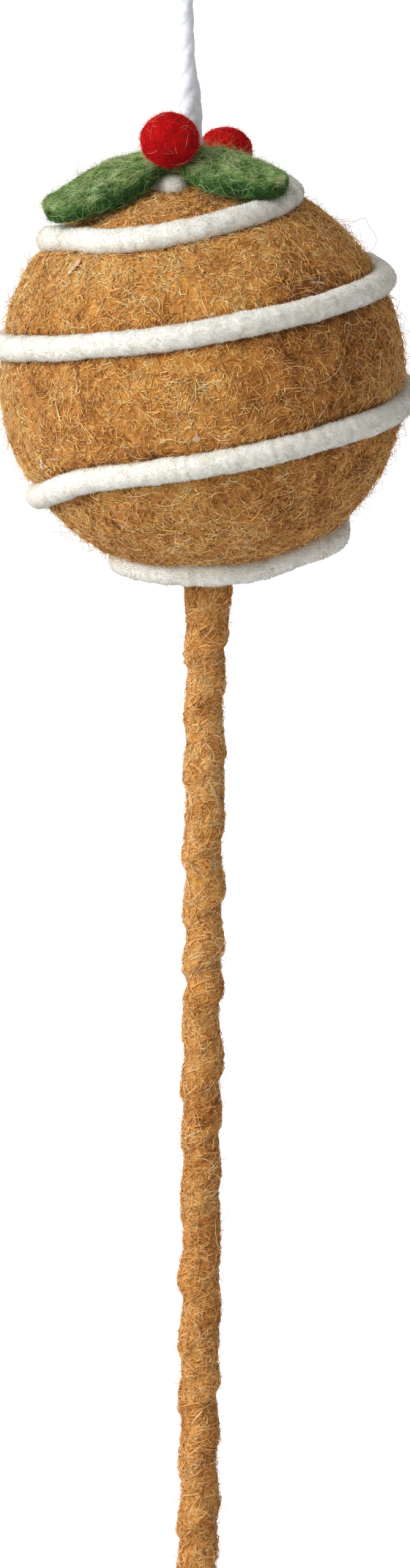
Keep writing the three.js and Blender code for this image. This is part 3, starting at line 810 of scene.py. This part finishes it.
def wool_height(directions):
    """The wool's radius in each direction: lumps, tufts and the groove that the chenille lies in."""
    gap, loose = chenille_distance(directions)
    groove = GROOVE_DEPTH * (1 - loose) * np.exp(-((gap / GROOVE_WIDTH) ** 4))
    return WOOL_RADIUS + MM * relief(directions * WOOL_RADIUS, 1, WOOL_BUMPS) - groove


def wool_tone(directions):
    """How pale the wool is, from 0 to 1: patches, darker places that are partly painted shade, and a line of
    painted shade in the crease by the chenille.
    """
    points = directions * WOOL_RADIUS
    tone = WOOL_TONE + relief(points, 11, WOOL_PATCHES)
    # Darker places, partly painted shade on the ball's right and lower side
    for across, down, reach, depth in SHADE_AND_DARK_WOOL_PATCHES:
        away = np.linalg.norm(points - seen_at(across, down) * WOOL_RADIUS, axis=1)
        tone -= depth * bell(away, reach * MM)
    # Painted shade: a dark line in the crease beside the chenille
    return tone - CREASE_SHADE_DEPTH * bell(chenille_distance(directions)[0] - CREASE_SHADE_PLACE, CREASE_SHADE_REACH)


def settle_on_ball(points):
    normal = unit(points - BALL)
    return BALL + normal * wool_height(normal)[:, None], normal


def ball():
    directions, quads = ball_directions(BALL_GRID)
    points = settle_on_ball(BALL + directions)[0]
    # Its tones take in the painted shade of wool_tone
    shades = np.clip(0.45 + 0.6 * (wool_tone(directions) - 0.6), 0, 1)
    riding(mesh_piece("ball_wool", points, quads, [], WOOL, shades), "ball_wool", "felt_skin")
    for layer, each in enumerate(BALL_LOCKS):
        ball_hairs(f"ball_short_hair_{layer + 1}", *SHORT_COAT, each, 100 + layer)
    ball_hairs("ball_long_hair", *BALL_LONG_COAT, 3, 110)
    for layer in range(2):
        ball_fuzz(f"ball_fuzz_{layer + 1}", 120 + layer)
    ball_strays()


def combed(normal, rng):
    """Headings along the ball that turn slowly from place to place, each hair straying from them."""
    east = unit(np.cross(UP, normal) + 1e-6)
    north = np.cross(normal, east)
    angle = 2.2 * math.pi * Noise(90, 0.45)(normal) + rng.normal(0, 0.9, len(normal))
    return east * np.cos(angle)[:, None] + north * np.sin(angle)[:, None]


def ball_hairs(name, count, reach, steps, each, seed):
    """Matted locks of some hairs each that curl over the wool, between two lengths in millimetres."""
    rng = default_rng(seed)
    out = random_directions(count // each, rng)
    heading = combed(out, rng)
    lengths = rng.uniform(*reach, len(out))
    curls = rng.normal(0, 1.5 + 0.16 * reach[1], len(out))
    lifts = rng.uniform(-0.25, 0.0, len(out)), rng.uniform(0.05, 0.6, len(out)) ** 1.4
    paths = laid_paths(BALL + out, heading, settle_on_ball, lengths, curls, lifts, rng, steps)
    # The locks' tones take in the painted shade of wool_tone
    tones = wool_tone(out) + rng.normal(0, 0.22, len(out))
    radius = 0.044 + 0.001 * reach[1]
    riding(lock_piece(name, paths, each, 0.1, radius, WOOL_HAIR, rng, tones), "ball_wool")


def ball_fuzz(name, seed):
    """Fine hairs that stand off the wool and soften its outline."""
    rng = default_rng(seed)
    surface, normal = settle_on_ball(BALL + random_directions(BALL_FUZZ, rng))
    riding(fuzz_piece(name, surface, normal, *BALL_FUZZ_FORM, FUZZ, rng), "ball_wool")


def ball_strays():
    """Long pale hairs that lie on the wool in wide curls."""
    rng = default_rng(130)
    count = BALL_STRAYS
    roots = BALL + random_directions(count, rng) * WOOL_RADIUS
    lengths = rng.uniform(3, 7, count) ** 1.15
    curls = rng.normal(0, 2.4, count)
    lifts = rng.uniform(-0.1, 0.3, count), rng.uniform(0.35, 0.95, count)
    heading = rng.normal(size=(count, 3))
    paths = laid_paths(roots, heading, settle_on_ball, lengths, curls, lifts, rng, 12)
    riding(hair_piece("ball_stray_hair", paths, 0.05, PALE_HAIR, rng), "ball_wool")


def over_wool(places, heights):
    """Points over the wool at places in the photograph's pixels, at heights in millimetres."""
    out = np.array([seen_at(across, down) for across, down in places])
    return BALL + out * (WOOL_RADIUS + np.array(heights)[:, None] * MM)


def glue_wisps():
    """Small smears of dried glue beside the icing, and threads of it."""
    tubes = []
    for places, width in GLUE_WISPS:
        path = along(over_wool(places, [GLUE_HEIGHT] * len(places)), GLUE_STEPS)
        side, lift = frames_along(path, unit(path - BALL))
        thick = width * MM * (1 + 0.7 * Noise(61, 0.45 * MM)(path)) * np.linspace(0.7, 1.4, GLUE_STEPS)
        thick *= np.sin(np.linspace(0.15, 3, GLUE_STEPS)) ** 0.5
        flat = around(angles_round(12), side, 0.2 * lift)
        tubes.append(path[:, None] + flat * thick[:, None, None])
    riding(mesh_piece("glue_wisps", *joined(tubes), DRIED_GLUE), "glue")


def long_hair():
    """The one long hair that loops off the ball's right side."""
    loop = [BALL + BALL_RADIUS * from_photo(*photo_place(*place), 0) for place in HAIR_LOOP]
    path = along(np.concatenate([over_wool(HAIR_LAID, HAIR_HEIGHTS), loop]), 60)
    hair = hair_piece("long_hair", path[None], 0.04, DARK_HAIR, default_rng(140))
    riding(hair, "ball_wool")


# Chenille
def chenille_path():
    """Even points of the chenille's centreline, and their distances from its start."""
    azimuth = np.linspace(CHENILLE_ROUTE[0][0], CHENILLE_ROUTE[-1][0], 6000)
    latitude = np.radians(chenille_latitude(azimuth))
    turn = np.radians(azimuth)
    pressed = np.clip((azimuth - PRESSED_FROM) / (azimuth[-1] - PRESSED_FROM), 0, 1)
    height = CHENILLE_HEIGHT + LOOSE_HEIGHT * chenille_loose(azimuth) - PRESSED_DEPTH * pressed
    out = np.stack([np.cos(latitude) * np.cos(turn), np.cos(latitude) * np.sin(turn), np.sin(latitude)], -1)
    path = BALL + height[:, None] * out
    run = run_along(path)
    even = np.linspace(0, run[-1], CHENILLE_STEPS)
    return np.stack([np.interp(even, run, column) for column in path.T], -1), even


def chenille():
    path, run = chenille_path()
    side, lift = frames_along(path, unit(path - BALL))
    out = around(angles_round(CHENILLE_SIDES), side, lift)
    ends = np.clip(np.minimum(run, run[-1] - run) / CHENILLE_RADIUS, 0, 1)
    rounded = np.sqrt(np.clip(1 - (1 - ends) ** 2, 0.02, 1))
    flat = out.reshape(-1, 3)
    spine = np.repeat(path, CHENILLE_SIDES, axis=0)
    skin = spine + flat * CHENILLE_RADIUS
    up, right = skin[:, 2] / RIB_WIDTH, skin[:, 0] / RIB_WIDTH
    rib_place = np.stack([np.repeat(run, CHENILLE_SIDES) / RIB_PITCH, up, right], -1) / MM
    rough = RIB_HEIGHT * Noise(21, 1.0)(rib_place) + relief(skin, 22, CHENILLE_BUMPS) - UNDER_PILE
    radius = (CHENILLE_RADIUS + MM * rough) * np.repeat(rounded, CHENILLE_SIDES)
    points = spine + flat * radius[:, None]
    body = mesh_piece("chenille", *capped(points.reshape(out.shape)), CHENILLE)
    riding(body, "chenille", "icing_chenille")
    wire = path[8:-8:4, None] + out[8:-8:4, ::3] * WIRE_RADIUS
    riding(mesh_piece("chenille_wire", *capped(wire), wire_look()), "wire", "icing_wire")
    shown = np.nonzero(np.sum(flat * unit(points - BALL), axis=1) > -0.4)[0]
    for layer in range(3):
        chenille_tufts(f"chenille_tufts_{layer + 1}", points, flat, shown, *TUFTS, 200 + layer)
    chenille_tufts("chenille_pile", points, flat, shown, *FINE_PILE, 210)


def chenille_tufts(name, points, outward, shown, count, reach, radius, seed):
    """Tufts of pile on the chenille, between two heights and with a foot's radius in millimetres."""
    rng = default_rng(seed)
    at = rng.choice(shown, count)
    jitter = rng.uniform(-1, 1, (count, 3)) * 0.3 * MM
    jitter -= outward[at] * np.sum(jitter * outward[at], axis=1)[:, None]
    lengths = rng.uniform(*reach, count) * MM
    tufts = spike_piece(name, points[at] + jitter, outward[at], lengths, radius * MM, CHENILLE_PILE, rng)
    riding(tufts, "chenille")


# Stick
def changing(down, seed, pitch, least, most):
    """A random value between two bounds that changes down the stick, at each pitch in millimetres."""
    places = np.arange(0, PAST_END, pitch) * MM
    return np.interp(down, places, default_rng(seed).uniform(least, most, len(places)))


def stick_radius(down, angle):
    """The wool's radius at a depth under the ball and an angle: each turn of the band overlaps the last."""
    part = (down / WRAP_PITCH + angle / (2 * math.pi) + changing(down, 31, 10, -0.22, 0.22)) % 1
    step = eased(np.where(part < WRAP_RISE, part / WRAP_RISE, (1 - part) / (1 - WRAP_RISE)))
    band = WRAP_HEIGHT * changing(down, 32, 12, 0.6, 1.3) * (step - 0.35)
    flare = STICK_FLARE * bell(down, FLARE_REACH) * (1 + 0.8 * np.cos(angle))
    places = np.stack([3.5 * MM * np.cos(angle), 3.5 * MM * np.sin(angle), down], -1)
    rough = MM * relief(places, 33, STICK_BUMPS)
    tip = np.clip((STICK_LENGTH - down) / TIP_REACH, 0, 1)
    return (STICK_RADIUS + band + flare + rough) * np.sqrt(np.clip(1 - (1 - tip) ** 2, 0, 1))


def stick_points(down, angle, radius=STICK_RADIUS):
    normal = around(angle, STICK_SIDE, STICK_BACK)
    return STICK_TOP + STICK_DOWN * down[:, None] + normal * np.reshape(radius, (-1, 1))


def stick_place(points):
    """How far down the stick points are, and at which angle round it."""
    offset = points - STICK_TOP
    return offset @ STICK_DOWN, np.arctan2(offset @ STICK_BACK, offset @ STICK_SIDE)


def settle_on_stick(points):
    down, angle = stick_place(points)
    down = np.clip(down, 0, STICK_LENGTH)
    return stick_points(down, angle, stick_radius(down, angle)), around(angle, STICK_SIDE, STICK_BACK)


def stick_tone(points):
    """How pale the stick's wool is at points on it, from 0 to 1, in streaks that follow its winding."""
    down, angle = stick_place(points)
    turn = down / WRAP_PITCH + angle / (2 * math.pi)
    streaks = np.stack([(turn % 1) * 9 * MM, np.floor(turn) * 40 * MM, down * 0.25], -1)
    tone = STICK_TONE + relief(streaks, 36, STICK_STREAKS) + relief(points, 38, STICK_PATCHES)
    tone -= SPOT_DEPTH * bell(np.linalg.norm(points - DARK_SPOT, axis=1), SPOT_REACH)
    for middle, reach, change in STICK_STRETCHES:
        tone += change * bell(down - middle * MM, reach * MM)
    return tone - STICK_FADE * np.clip(down / FADE_REACH, 0, 1)


def stick():
    down = np.repeat(np.linspace(STICK_LENGTH, -1.5 * MM, STICK_RINGS), STICK_SIDES)
    angle = np.tile(angles_round(STICK_SIDES), STICK_RINGS)
    points = stick_points(down, angle, stick_radius(down, angle))
    shades = np.concatenate([np.clip(0.55 + 0.8 * (stick_tone(points) - 0.55), 0, 1), [0.3, 0.3]])
    rings = points.reshape(STICK_RINGS, STICK_SIDES, 3)
    body = mesh_piece("stick_wool", *capped(rings), STICK_WOOL, shades)
    riding(body, "stick_wool", "stick_collar", "stick_wrap", "stick_tip")
    for layer in range(3):
        stick_hairs(f"stick_short_hair_{layer + 1}", *SHORT_COAT, 300 + layer)
    stick_hairs("stick_long_hair", *STICK_LONG_COAT, 310)
    stick_strays()
    stick_fuzz()


def stick_hairs(name, count, reach, steps, seed):
    """Locks of three hairs along the band's winding, with some across it, between two lengths."""
    rng = default_rng(seed)
    count = count // 3
    angle = rng.uniform(-math.pi, math.pi, count)
    roots = stick_points(rng.uniform(0, STICK_LENGTH, count), angle)
    climb = np.radians(rng.normal(38, 20, count))[:, None]
    heading = around(angle, STICK_BACK, -STICK_SIDE) * np.cos(climb) - STICK_DOWN * np.sin(climb)
    lengths = rng.uniform(*reach, count)
    curls = rng.normal(0, 0.8 + 0.12 * reach[1], count)
    lifts = rng.uniform(-0.3, -0.05, count), rng.uniform(0.02, 0.6, count) ** 1.4
    paths = laid_paths(roots, heading, settle_on_stick, lengths, curls, lifts, rng, steps)
    tones = stick_tone(roots) + rng.normal(0, 0.1, count) + 0.02 * reach[1]
    radius = 0.036 + 0.001 * reach[1]
    riding(lock_piece(name, paths, 3, 0.12, radius, STICK_HAIR, rng, tones), "stick_wool")


def stick_strays():
    """Pale hairs that lie loosely round the stick."""
    rng = default_rng(315)
    count = STICK_STRAYS
    angle = rng.uniform(-math.pi, math.pi, count)
    roots = stick_points(rng.uniform(0, STICK_LENGTH, count), angle)
    lengths = rng.uniform(3, 9, count)
    lifts = rng.uniform(-0.1, 0.2, count), rng.uniform(0.3, 0.8, count)
    heading = rng.normal(size=(count, 3))
    curls = rng.normal(0, 1.4, count)
    paths = laid_paths(roots, heading, settle_on_stick, lengths, curls, lifts, rng, 12)
    riding(hair_piece("stick_stray_hair", paths, 0.04, PALE_HAIR, rng), "stick_wool")


def stick_fuzz():
    rng = default_rng(320)
    down = rng.uniform(0, STICK_LENGTH, STICK_FUZZ)
    roots = stick_points(down, rng.uniform(-math.pi, math.pi, STICK_FUZZ))
    surface, normal = settle_on_stick(roots)
    riding(fuzz_piece("stick_fuzz", surface, normal, *STICK_FUZZ_FORM, FUZZ, rng), "stick_wool")


# Leaves
class Leaf:
    """A blunt oval of thick felt in the place of its solid, whose axes come from that solid's points."""

    LENGTH_STEPS = 90
    SIDES = 84
    THICKNESS = 2.9 * MM
    BUMPS = ((5, 0.3), (1.8, 0.16), (0.6, 0.08))
    CLUMPS = ((1.2, 0.5), (3.5, 0.15), (0.6, 0.5))
    # Hairs of each coat: how many, points along each, lengths and greatest height in millimetres, look
    COATS = (
        (9000, 5, (0.8, 2.4), 0.2, LEAF_HAIR),
        (2700, 7, (1.8, 5), 0.4, LEAF_HAIR),
        (330, 9, (2.5, 7), 0.7, LEAF_PALE),
    )

    def __init__(self, node, seed, cuts, right_edge, left_edge):
        """cuts shorten its two ends, or lengthen them below 0. Edges are shares of its half width."""
        self.node = node
        self.seed = seed
        self.edges = right_edge, left_edge
        points = np.array([v.co for v in frame["nodes"][node].data.vertices], dtype=float)
        self.middle = (points.max(axis=0) + points.min(axis=0)) / 2
        onward, _, normal = np.linalg.svd(points - points.mean(axis=0), full_matrices=False)[2]
        if onward[:2] @ (self.middle - BALL)[:2] < 0:
            onward = -onward
        if normal[2] < 0:
            normal = -normal
        self.axes = np.stack([onward, np.cross(normal, onward), normal])
        local = (points - self.middle) @ self.axes.T
        self.start, self.stop = local[:, 0].min() + cuts[0], local[:, 0].max() - cuts[1]
        self.half = (local[:, 1].max() - local[:, 1].min()) / 2

    def outline(self, share, edge):
        """The leaf's width from its middle line to one of its edges."""
        inner = np.clip(1 - np.clip(1 - 2 * share, 0, 1) ** 2.2, 0, 1) ** 0.75
        outer = np.clip(1 - np.clip(2 * share - 1, 0, 1) ** 5, 0, 1) ** 0.42
        wave = 1 + 0.04 * np.sin(9 * share + self.seed)
        return self.half * inner * outer * wave * np.interp(share, np.linspace(0, 1, len(edge)), edge)

    def surface(self, share, angle):
        """Points of the felt's skin: share runs along the leaf, angle goes round its section."""
        cosine, sine = np.cos(angle), np.sin(angle)
        across = np.sign(cosine) * np.abs(cosine) ** 0.66
        over = np.sign(sine) * np.abs(sine) ** 0.46
        half = np.where(cosine > 0, *(self.outline(share, edge) for edge in self.edges))
        half = np.maximum(half, 0.02 * MM)
        thick = self.THICKNESS / 2 * np.minimum(1, (half / (1.6 * MM)) ** 0.5)
        arch = 0.8 * MM * np.sin(math.pi * share) - 0.9 * MM * (across * half / self.half) ** 2
        place = self.start + (self.stop - self.start) * share
        return self.middle + np.stack([place, across * half, arch + over * thick], -1) @ self.axes

    def skin(self, share, angle):
        """Points of the rough skin, directions out of it and the size of a step of share and angle there."""
        share = np.clip(share, 0, 1)
        points = self.surface(share, angle)
        back, fore = np.clip(share - 0.02, 0, 1), np.clip(share + 0.02, 0, 1)
        onward = (self.surface(fore, angle) - self.surface(back, angle)) / (fore - back)[..., None]
        about = (self.surface(share, angle + 0.12) - self.surface(share, angle - 0.12)) / 0.24
        out = unit(np.cross(about, onward))
        strides = np.linalg.norm(onward, axis=-1), np.linalg.norm(about, axis=-1)
        rough = MM * relief(points.reshape(-1, 3), self.seed, self.BUMPS)
        return points + out * rough.reshape(share.shape)[..., None], out, strides

    def face(self, points, angle):
        """How much painted light the place gets: most on the upper face, and less towards the viewer as painted
        shade.
        """
        share = np.clip((np.sin(angle) - 0.4) / 0.3, 0, 1)
        return share - 0.3 * np.clip((self.middle[1] - points[..., 1]) / self.half, -0.5, 1)

    def make(self):
        share = (1 - np.cos(np.linspace(0, math.pi, self.LENGTH_STEPS))) / 2
        grids = np.meshgrid(share, angles_round(self.SIDES), indexing="ij")
        share, angle = (grid.ravel() for grid in grids)
        points = self.skin(share, angle)[0]
        # The felt's shade attribute carries its painted light and shade
        shades = np.concatenate([self.face(points, angle), [0, 0]])
        rings = points.reshape(self.LENGTH_STEPS, self.SIDES, 3)
        riding(mesh_piece(self.node + "_felt", *capped(rings), LEAF, shades), "leaf_felt", self.node)
        for layer, coat in enumerate(self.COATS):
            self.hairs(layer, *coat)
        self.fuzz()

    def scattered(self, count, rng):
        """Places on the skin, evenly spread over its area."""
        share, angle = rng.uniform(0, 1, count * 6), rng.uniform(0, 2 * math.pi, count * 6)
        ahead, about = self.skin(share, angle)[2]
        area = ahead * about
        chosen = rng.choice(len(share), count, replace=False, p=area / area.sum())
        return share[chosen], angle[chosen]

    def hairs(self, layer, count, steps, reach, lift, look):
        """Hairs that lie on the skin and follow it round the leaf's edge."""
        rng = default_rng(self.seed + 50 + layer)
        share, angle = self.scattered(count, rng)
        points, _, (ahead, about) = self.skin(share, angle)
        way = rng.normal(0, 0.7, count)
        bend = rng.normal(0, 0.35 + 0.15 * reach[1], count) / 2
        half = rng.uniform(*reach, count) * MM / 2
        face = self.face(points, angle)
        clumps = relief(points, self.seed + 5, self.CLUMPS)
        # Hairs are paler on the upper face and darker towards the viewer: painted light and shade
        tones = 0.24 + 0.4 * face + rng.normal(0, 0.15, count) + clumps * (0.75 + 0.4 * face)
        run = np.linspace(-1, 1, steps)[:, None]
        onward = half * (run * np.cos(way) - run**2 * bend * np.sin(way))
        sideways = half * (run * np.sin(way) + run**2 * bend * np.cos(way))
        paths, normals, _ = self.skin(share + onward / ahead, angle + np.clip(sideways / about, -1.2, 1.2))
        rise = rng.uniform(0.02, lift, count) * MM * (1 - 1.1 * run**2)
        paths = np.swapaxes(paths + normals * rise[..., None], 0, 1)
        riding(hair_piece(f"{self.node}_hair_{layer + 1}", paths, 0.034, look, rng, tones), "leaf_felt")

    def fuzz(self):
        rng = default_rng(self.seed + 60)
        share, angle = self.scattered(LEAF_FUZZ, rng)
        points, out, _ = self.skin(share, angle)
        # Fuzz is paler on the upper face: painted light
        tones = 0.3 + 0.5 * self.face(points, angle)
        fuzz = fuzz_piece(self.node + "_fuzz", points, out, *LEAF_FUZZ_FORM, LEAF_HAIR, rng, tones)
        riding(fuzz, "leaf_felt")


def leaves():
    right_edge, left_edge = (0.5, 0.9, 1.0, 1.0, 0.95), (1.4, 1.3, 0.98, 0.67, 0.52)
    Leaf("leaf_left", 500, (-2.8 * MM, 0.7 * MM), right_edge, left_edge).make()
    right_edge, left_edge = (1.05, 0.97, 0.8, 0.72, 0.7), (0.75, 1.0, 1.06, 0.92, 0.8)
    Leaf("leaf_right", 600, (-2.2 * MM, 0.8 * MM), right_edge, left_edge).make()


# Berries
BERRY_GRID = 48
BERRY_BUMPS = ((4, 0.2), (1.4, 0.16), (0.5, 0.04))
BERRY_PATCHES = ((1.3, 0.75), (4, 0.3))
# Hairs of each coat: how many, their lengths and greatest height in millimetres
BERRY_COATS = ((7500, (0.8, 2.2), 0.22), (2700, (1.5, 4.5), 0.34))


def berry(node, seed, shares, shift):
    """A felted bead in the place of its solid, a little shifted and flattened."""
    middle = (low(node) + high(node)) / 2 + np.array(shift) * MM
    half = (high(node) - low(node)) / 2 * np.array(shares)
    directions, quads = ball_directions(BERRY_GRID)

    def settle(points):
        out = unit(points - middle)
        bumps = MM * relief(out * half[0], seed, BERRY_BUMPS)
        return middle + out * (half + bumps[:, None]), out

    points = settle(middle + directions)[0]
    riding(mesh_piece(node + "_felt", points, quads, [], BERRY), "berry_felt", node)
    for layer, (count, reach, lift) in enumerate(BERRY_COATS):
        rng = default_rng(seed + 50 + layer)
        roots = middle + random_directions(count, rng) * half[0]
        heading = rng.normal(size=(count, 3))
        lengths = rng.uniform(*reach, count)
        curls = rng.normal(0, 1.0, count)
        lifts = rng.uniform(-0.15, 0.0, count), rng.uniform(0.02, lift, count)
        paths = laid_paths(roots, heading, settle, lengths, curls, lifts, rng, 5 + layer)
        tones = 0.5 + relief(paths[:, 0] - middle, seed + 5, BERRY_PATCHES)
        riding(hair_piece(f"{node}_hair_{layer + 1}", paths, 0.026, BERRY_HAIR, rng, tones), "berry_felt")
    rng = default_rng(seed + 55)
    count = BERRY_STRAYS
    lifts = rng.uniform(0, 0.1, count), rng.uniform(0.2, 0.5, count)
    roots = middle + random_directions(count, rng) * half[0]
    heading = rng.normal(size=(count, 3))
    lengths = rng.uniform(1.5, 4, count)
    curls = rng.normal(0, 1, count)
    paths = laid_paths(roots, heading, settle, lengths, curls, lifts, rng, 8)
    riding(hair_piece(node + "_stray_hair", paths, 0.026, BERRY_PALE, rng), "berry_felt")
    rng = default_rng(seed + 60)
    surface, normal = settle(middle + random_directions(BERRY_FUZZ, rng))
    fuzz = fuzz_piece(node + "_fuzz", surface, normal, *BERRY_FUZZ_FORM, BERRY_HAIR, rng)
    riding(fuzz, "berry_felt")


# Pieces whose solid keeps its shape
BEAD_SIZE = 2.6 * MM


def inner_pieces():
    foam = Look("foam", roughness=0.8)
    cells = {"Scale": 1 / BEAD_SIZE, "Vector": foam.place}
    beads = foam.node("TexVoronoi", cells).outputs["Distance"]
    foam.bump(beads, 0.3 * MM)
    birch = Look("birch", roughness=0.6)
    stretched = birch.vector_math("MULTIPLY", birch.place, (1, 1, 0.06))
    grain = birch.noise(0.5 * MM, 5, place=stretched)
    glue = Look("glue", roughness=0.3)
    glue.set({"Transmission Weight": 0.4})
    glue.bump(glue.noise(1.2 * MM), 0.2 * MM)
    glue.color(glue.ramp(glue.noise(1.5 * MM), (0.3, 214, 206, 186), (0.7, 236, 232, 220)))
    looks = {
        "foam_core": foam.color(foam.ramp(beads, (0.0, 246, 245, 240), (0.75, 214, 212, 204))),
        "stick_dowel": birch.color(birch.ramp(grain, (0.35, 190, 160, 116), (0.6, 222, 198, 156))),
        "stick_glue": glue.made,
        "topper_glue": glue.made,
        "anchor_knot": COTTON,
    }
    for node, look in looks.items():
        mesh = frame["nodes"][node].data
        mesh.materials.clear()
        mesh.materials.append(look)


# Studio
def camera_like_rays(tree):
    """A value of 1 for rays from the camera, and for the reflections and glass that it sees."""
    rays = add_node(tree, "LightPath", {}).outputs
    value = rays["Is Camera Ray"]
    for kind in ("Is Glossy Ray", "Is Transmission Ray"):
        value = add_node(tree, "Math", {0: value, 1: rays[kind]}, operation="MAXIMUM").outputs[0]
    return value


def studio():
    world = bpy.data.worlds.new("studio")
    bpy.context.scene.world = world
    world.use_nodes = True
    tree = world.node_tree
    strength = add_node(tree, "Mix", {0: camera_like_rays(tree), 2: AMBIENT, 3: 1.0}).outputs[0]
    fill(tree, tree.nodes["Background"], {"Color": WHITE, "Strength": strength})

    sun = bpy.data.lights.new("key_light", "SUN")
    sun.energy = SUN_STRENGTH
    sun.angle = SUN_ANGLE
    key = bpy.data.objects.new("key_light", sun)
    key.rotation_euler = Vector(SUN_DIRECTION).to_track_quat("Z", "Y").to_euler()
    bpy.context.scene.collection.objects.link(key)

    height = STICK_END[2] - FLOOR_DROP
    half = FLOOR_SIZE / 2
    corners = [(x * half, y * half, height) for x, y in ((-1, -1), (1, -1), (1, 1), (-1, 1))]
    look = Look("floor", roughness=1.0)
    glow = look.node("Math", {0: camera_like_rays(look.tree), 1: FLOOR_GLOW}, operation="MULTIPLY")
    look.set({"Base Color": (0.9, 0.9, 0.9, 1), "Specular IOR Level": 0.0})
    look.set({"Emission Color": WHITE, "Emission Strength": glow.outputs[0]})
    mesh_piece("floor", corners, [[0, 1, 2, 3]], [], look.made)
    bpy.context.scene.view_settings.view_transform = "Standard"


camera()
cord()
ball()
chenille()
glue_wisps()
long_hair()
stick()
leaves()
berry("berry_front", 700, shares=(0.93, 0.925, 0.855), shift=(0.0, 0, 0.2))
berry("berry_rear", 750, shares=(1.0, 1.0, 0.97), shift=(0.15, 0, 0.9))
inner_pieces()
studio()
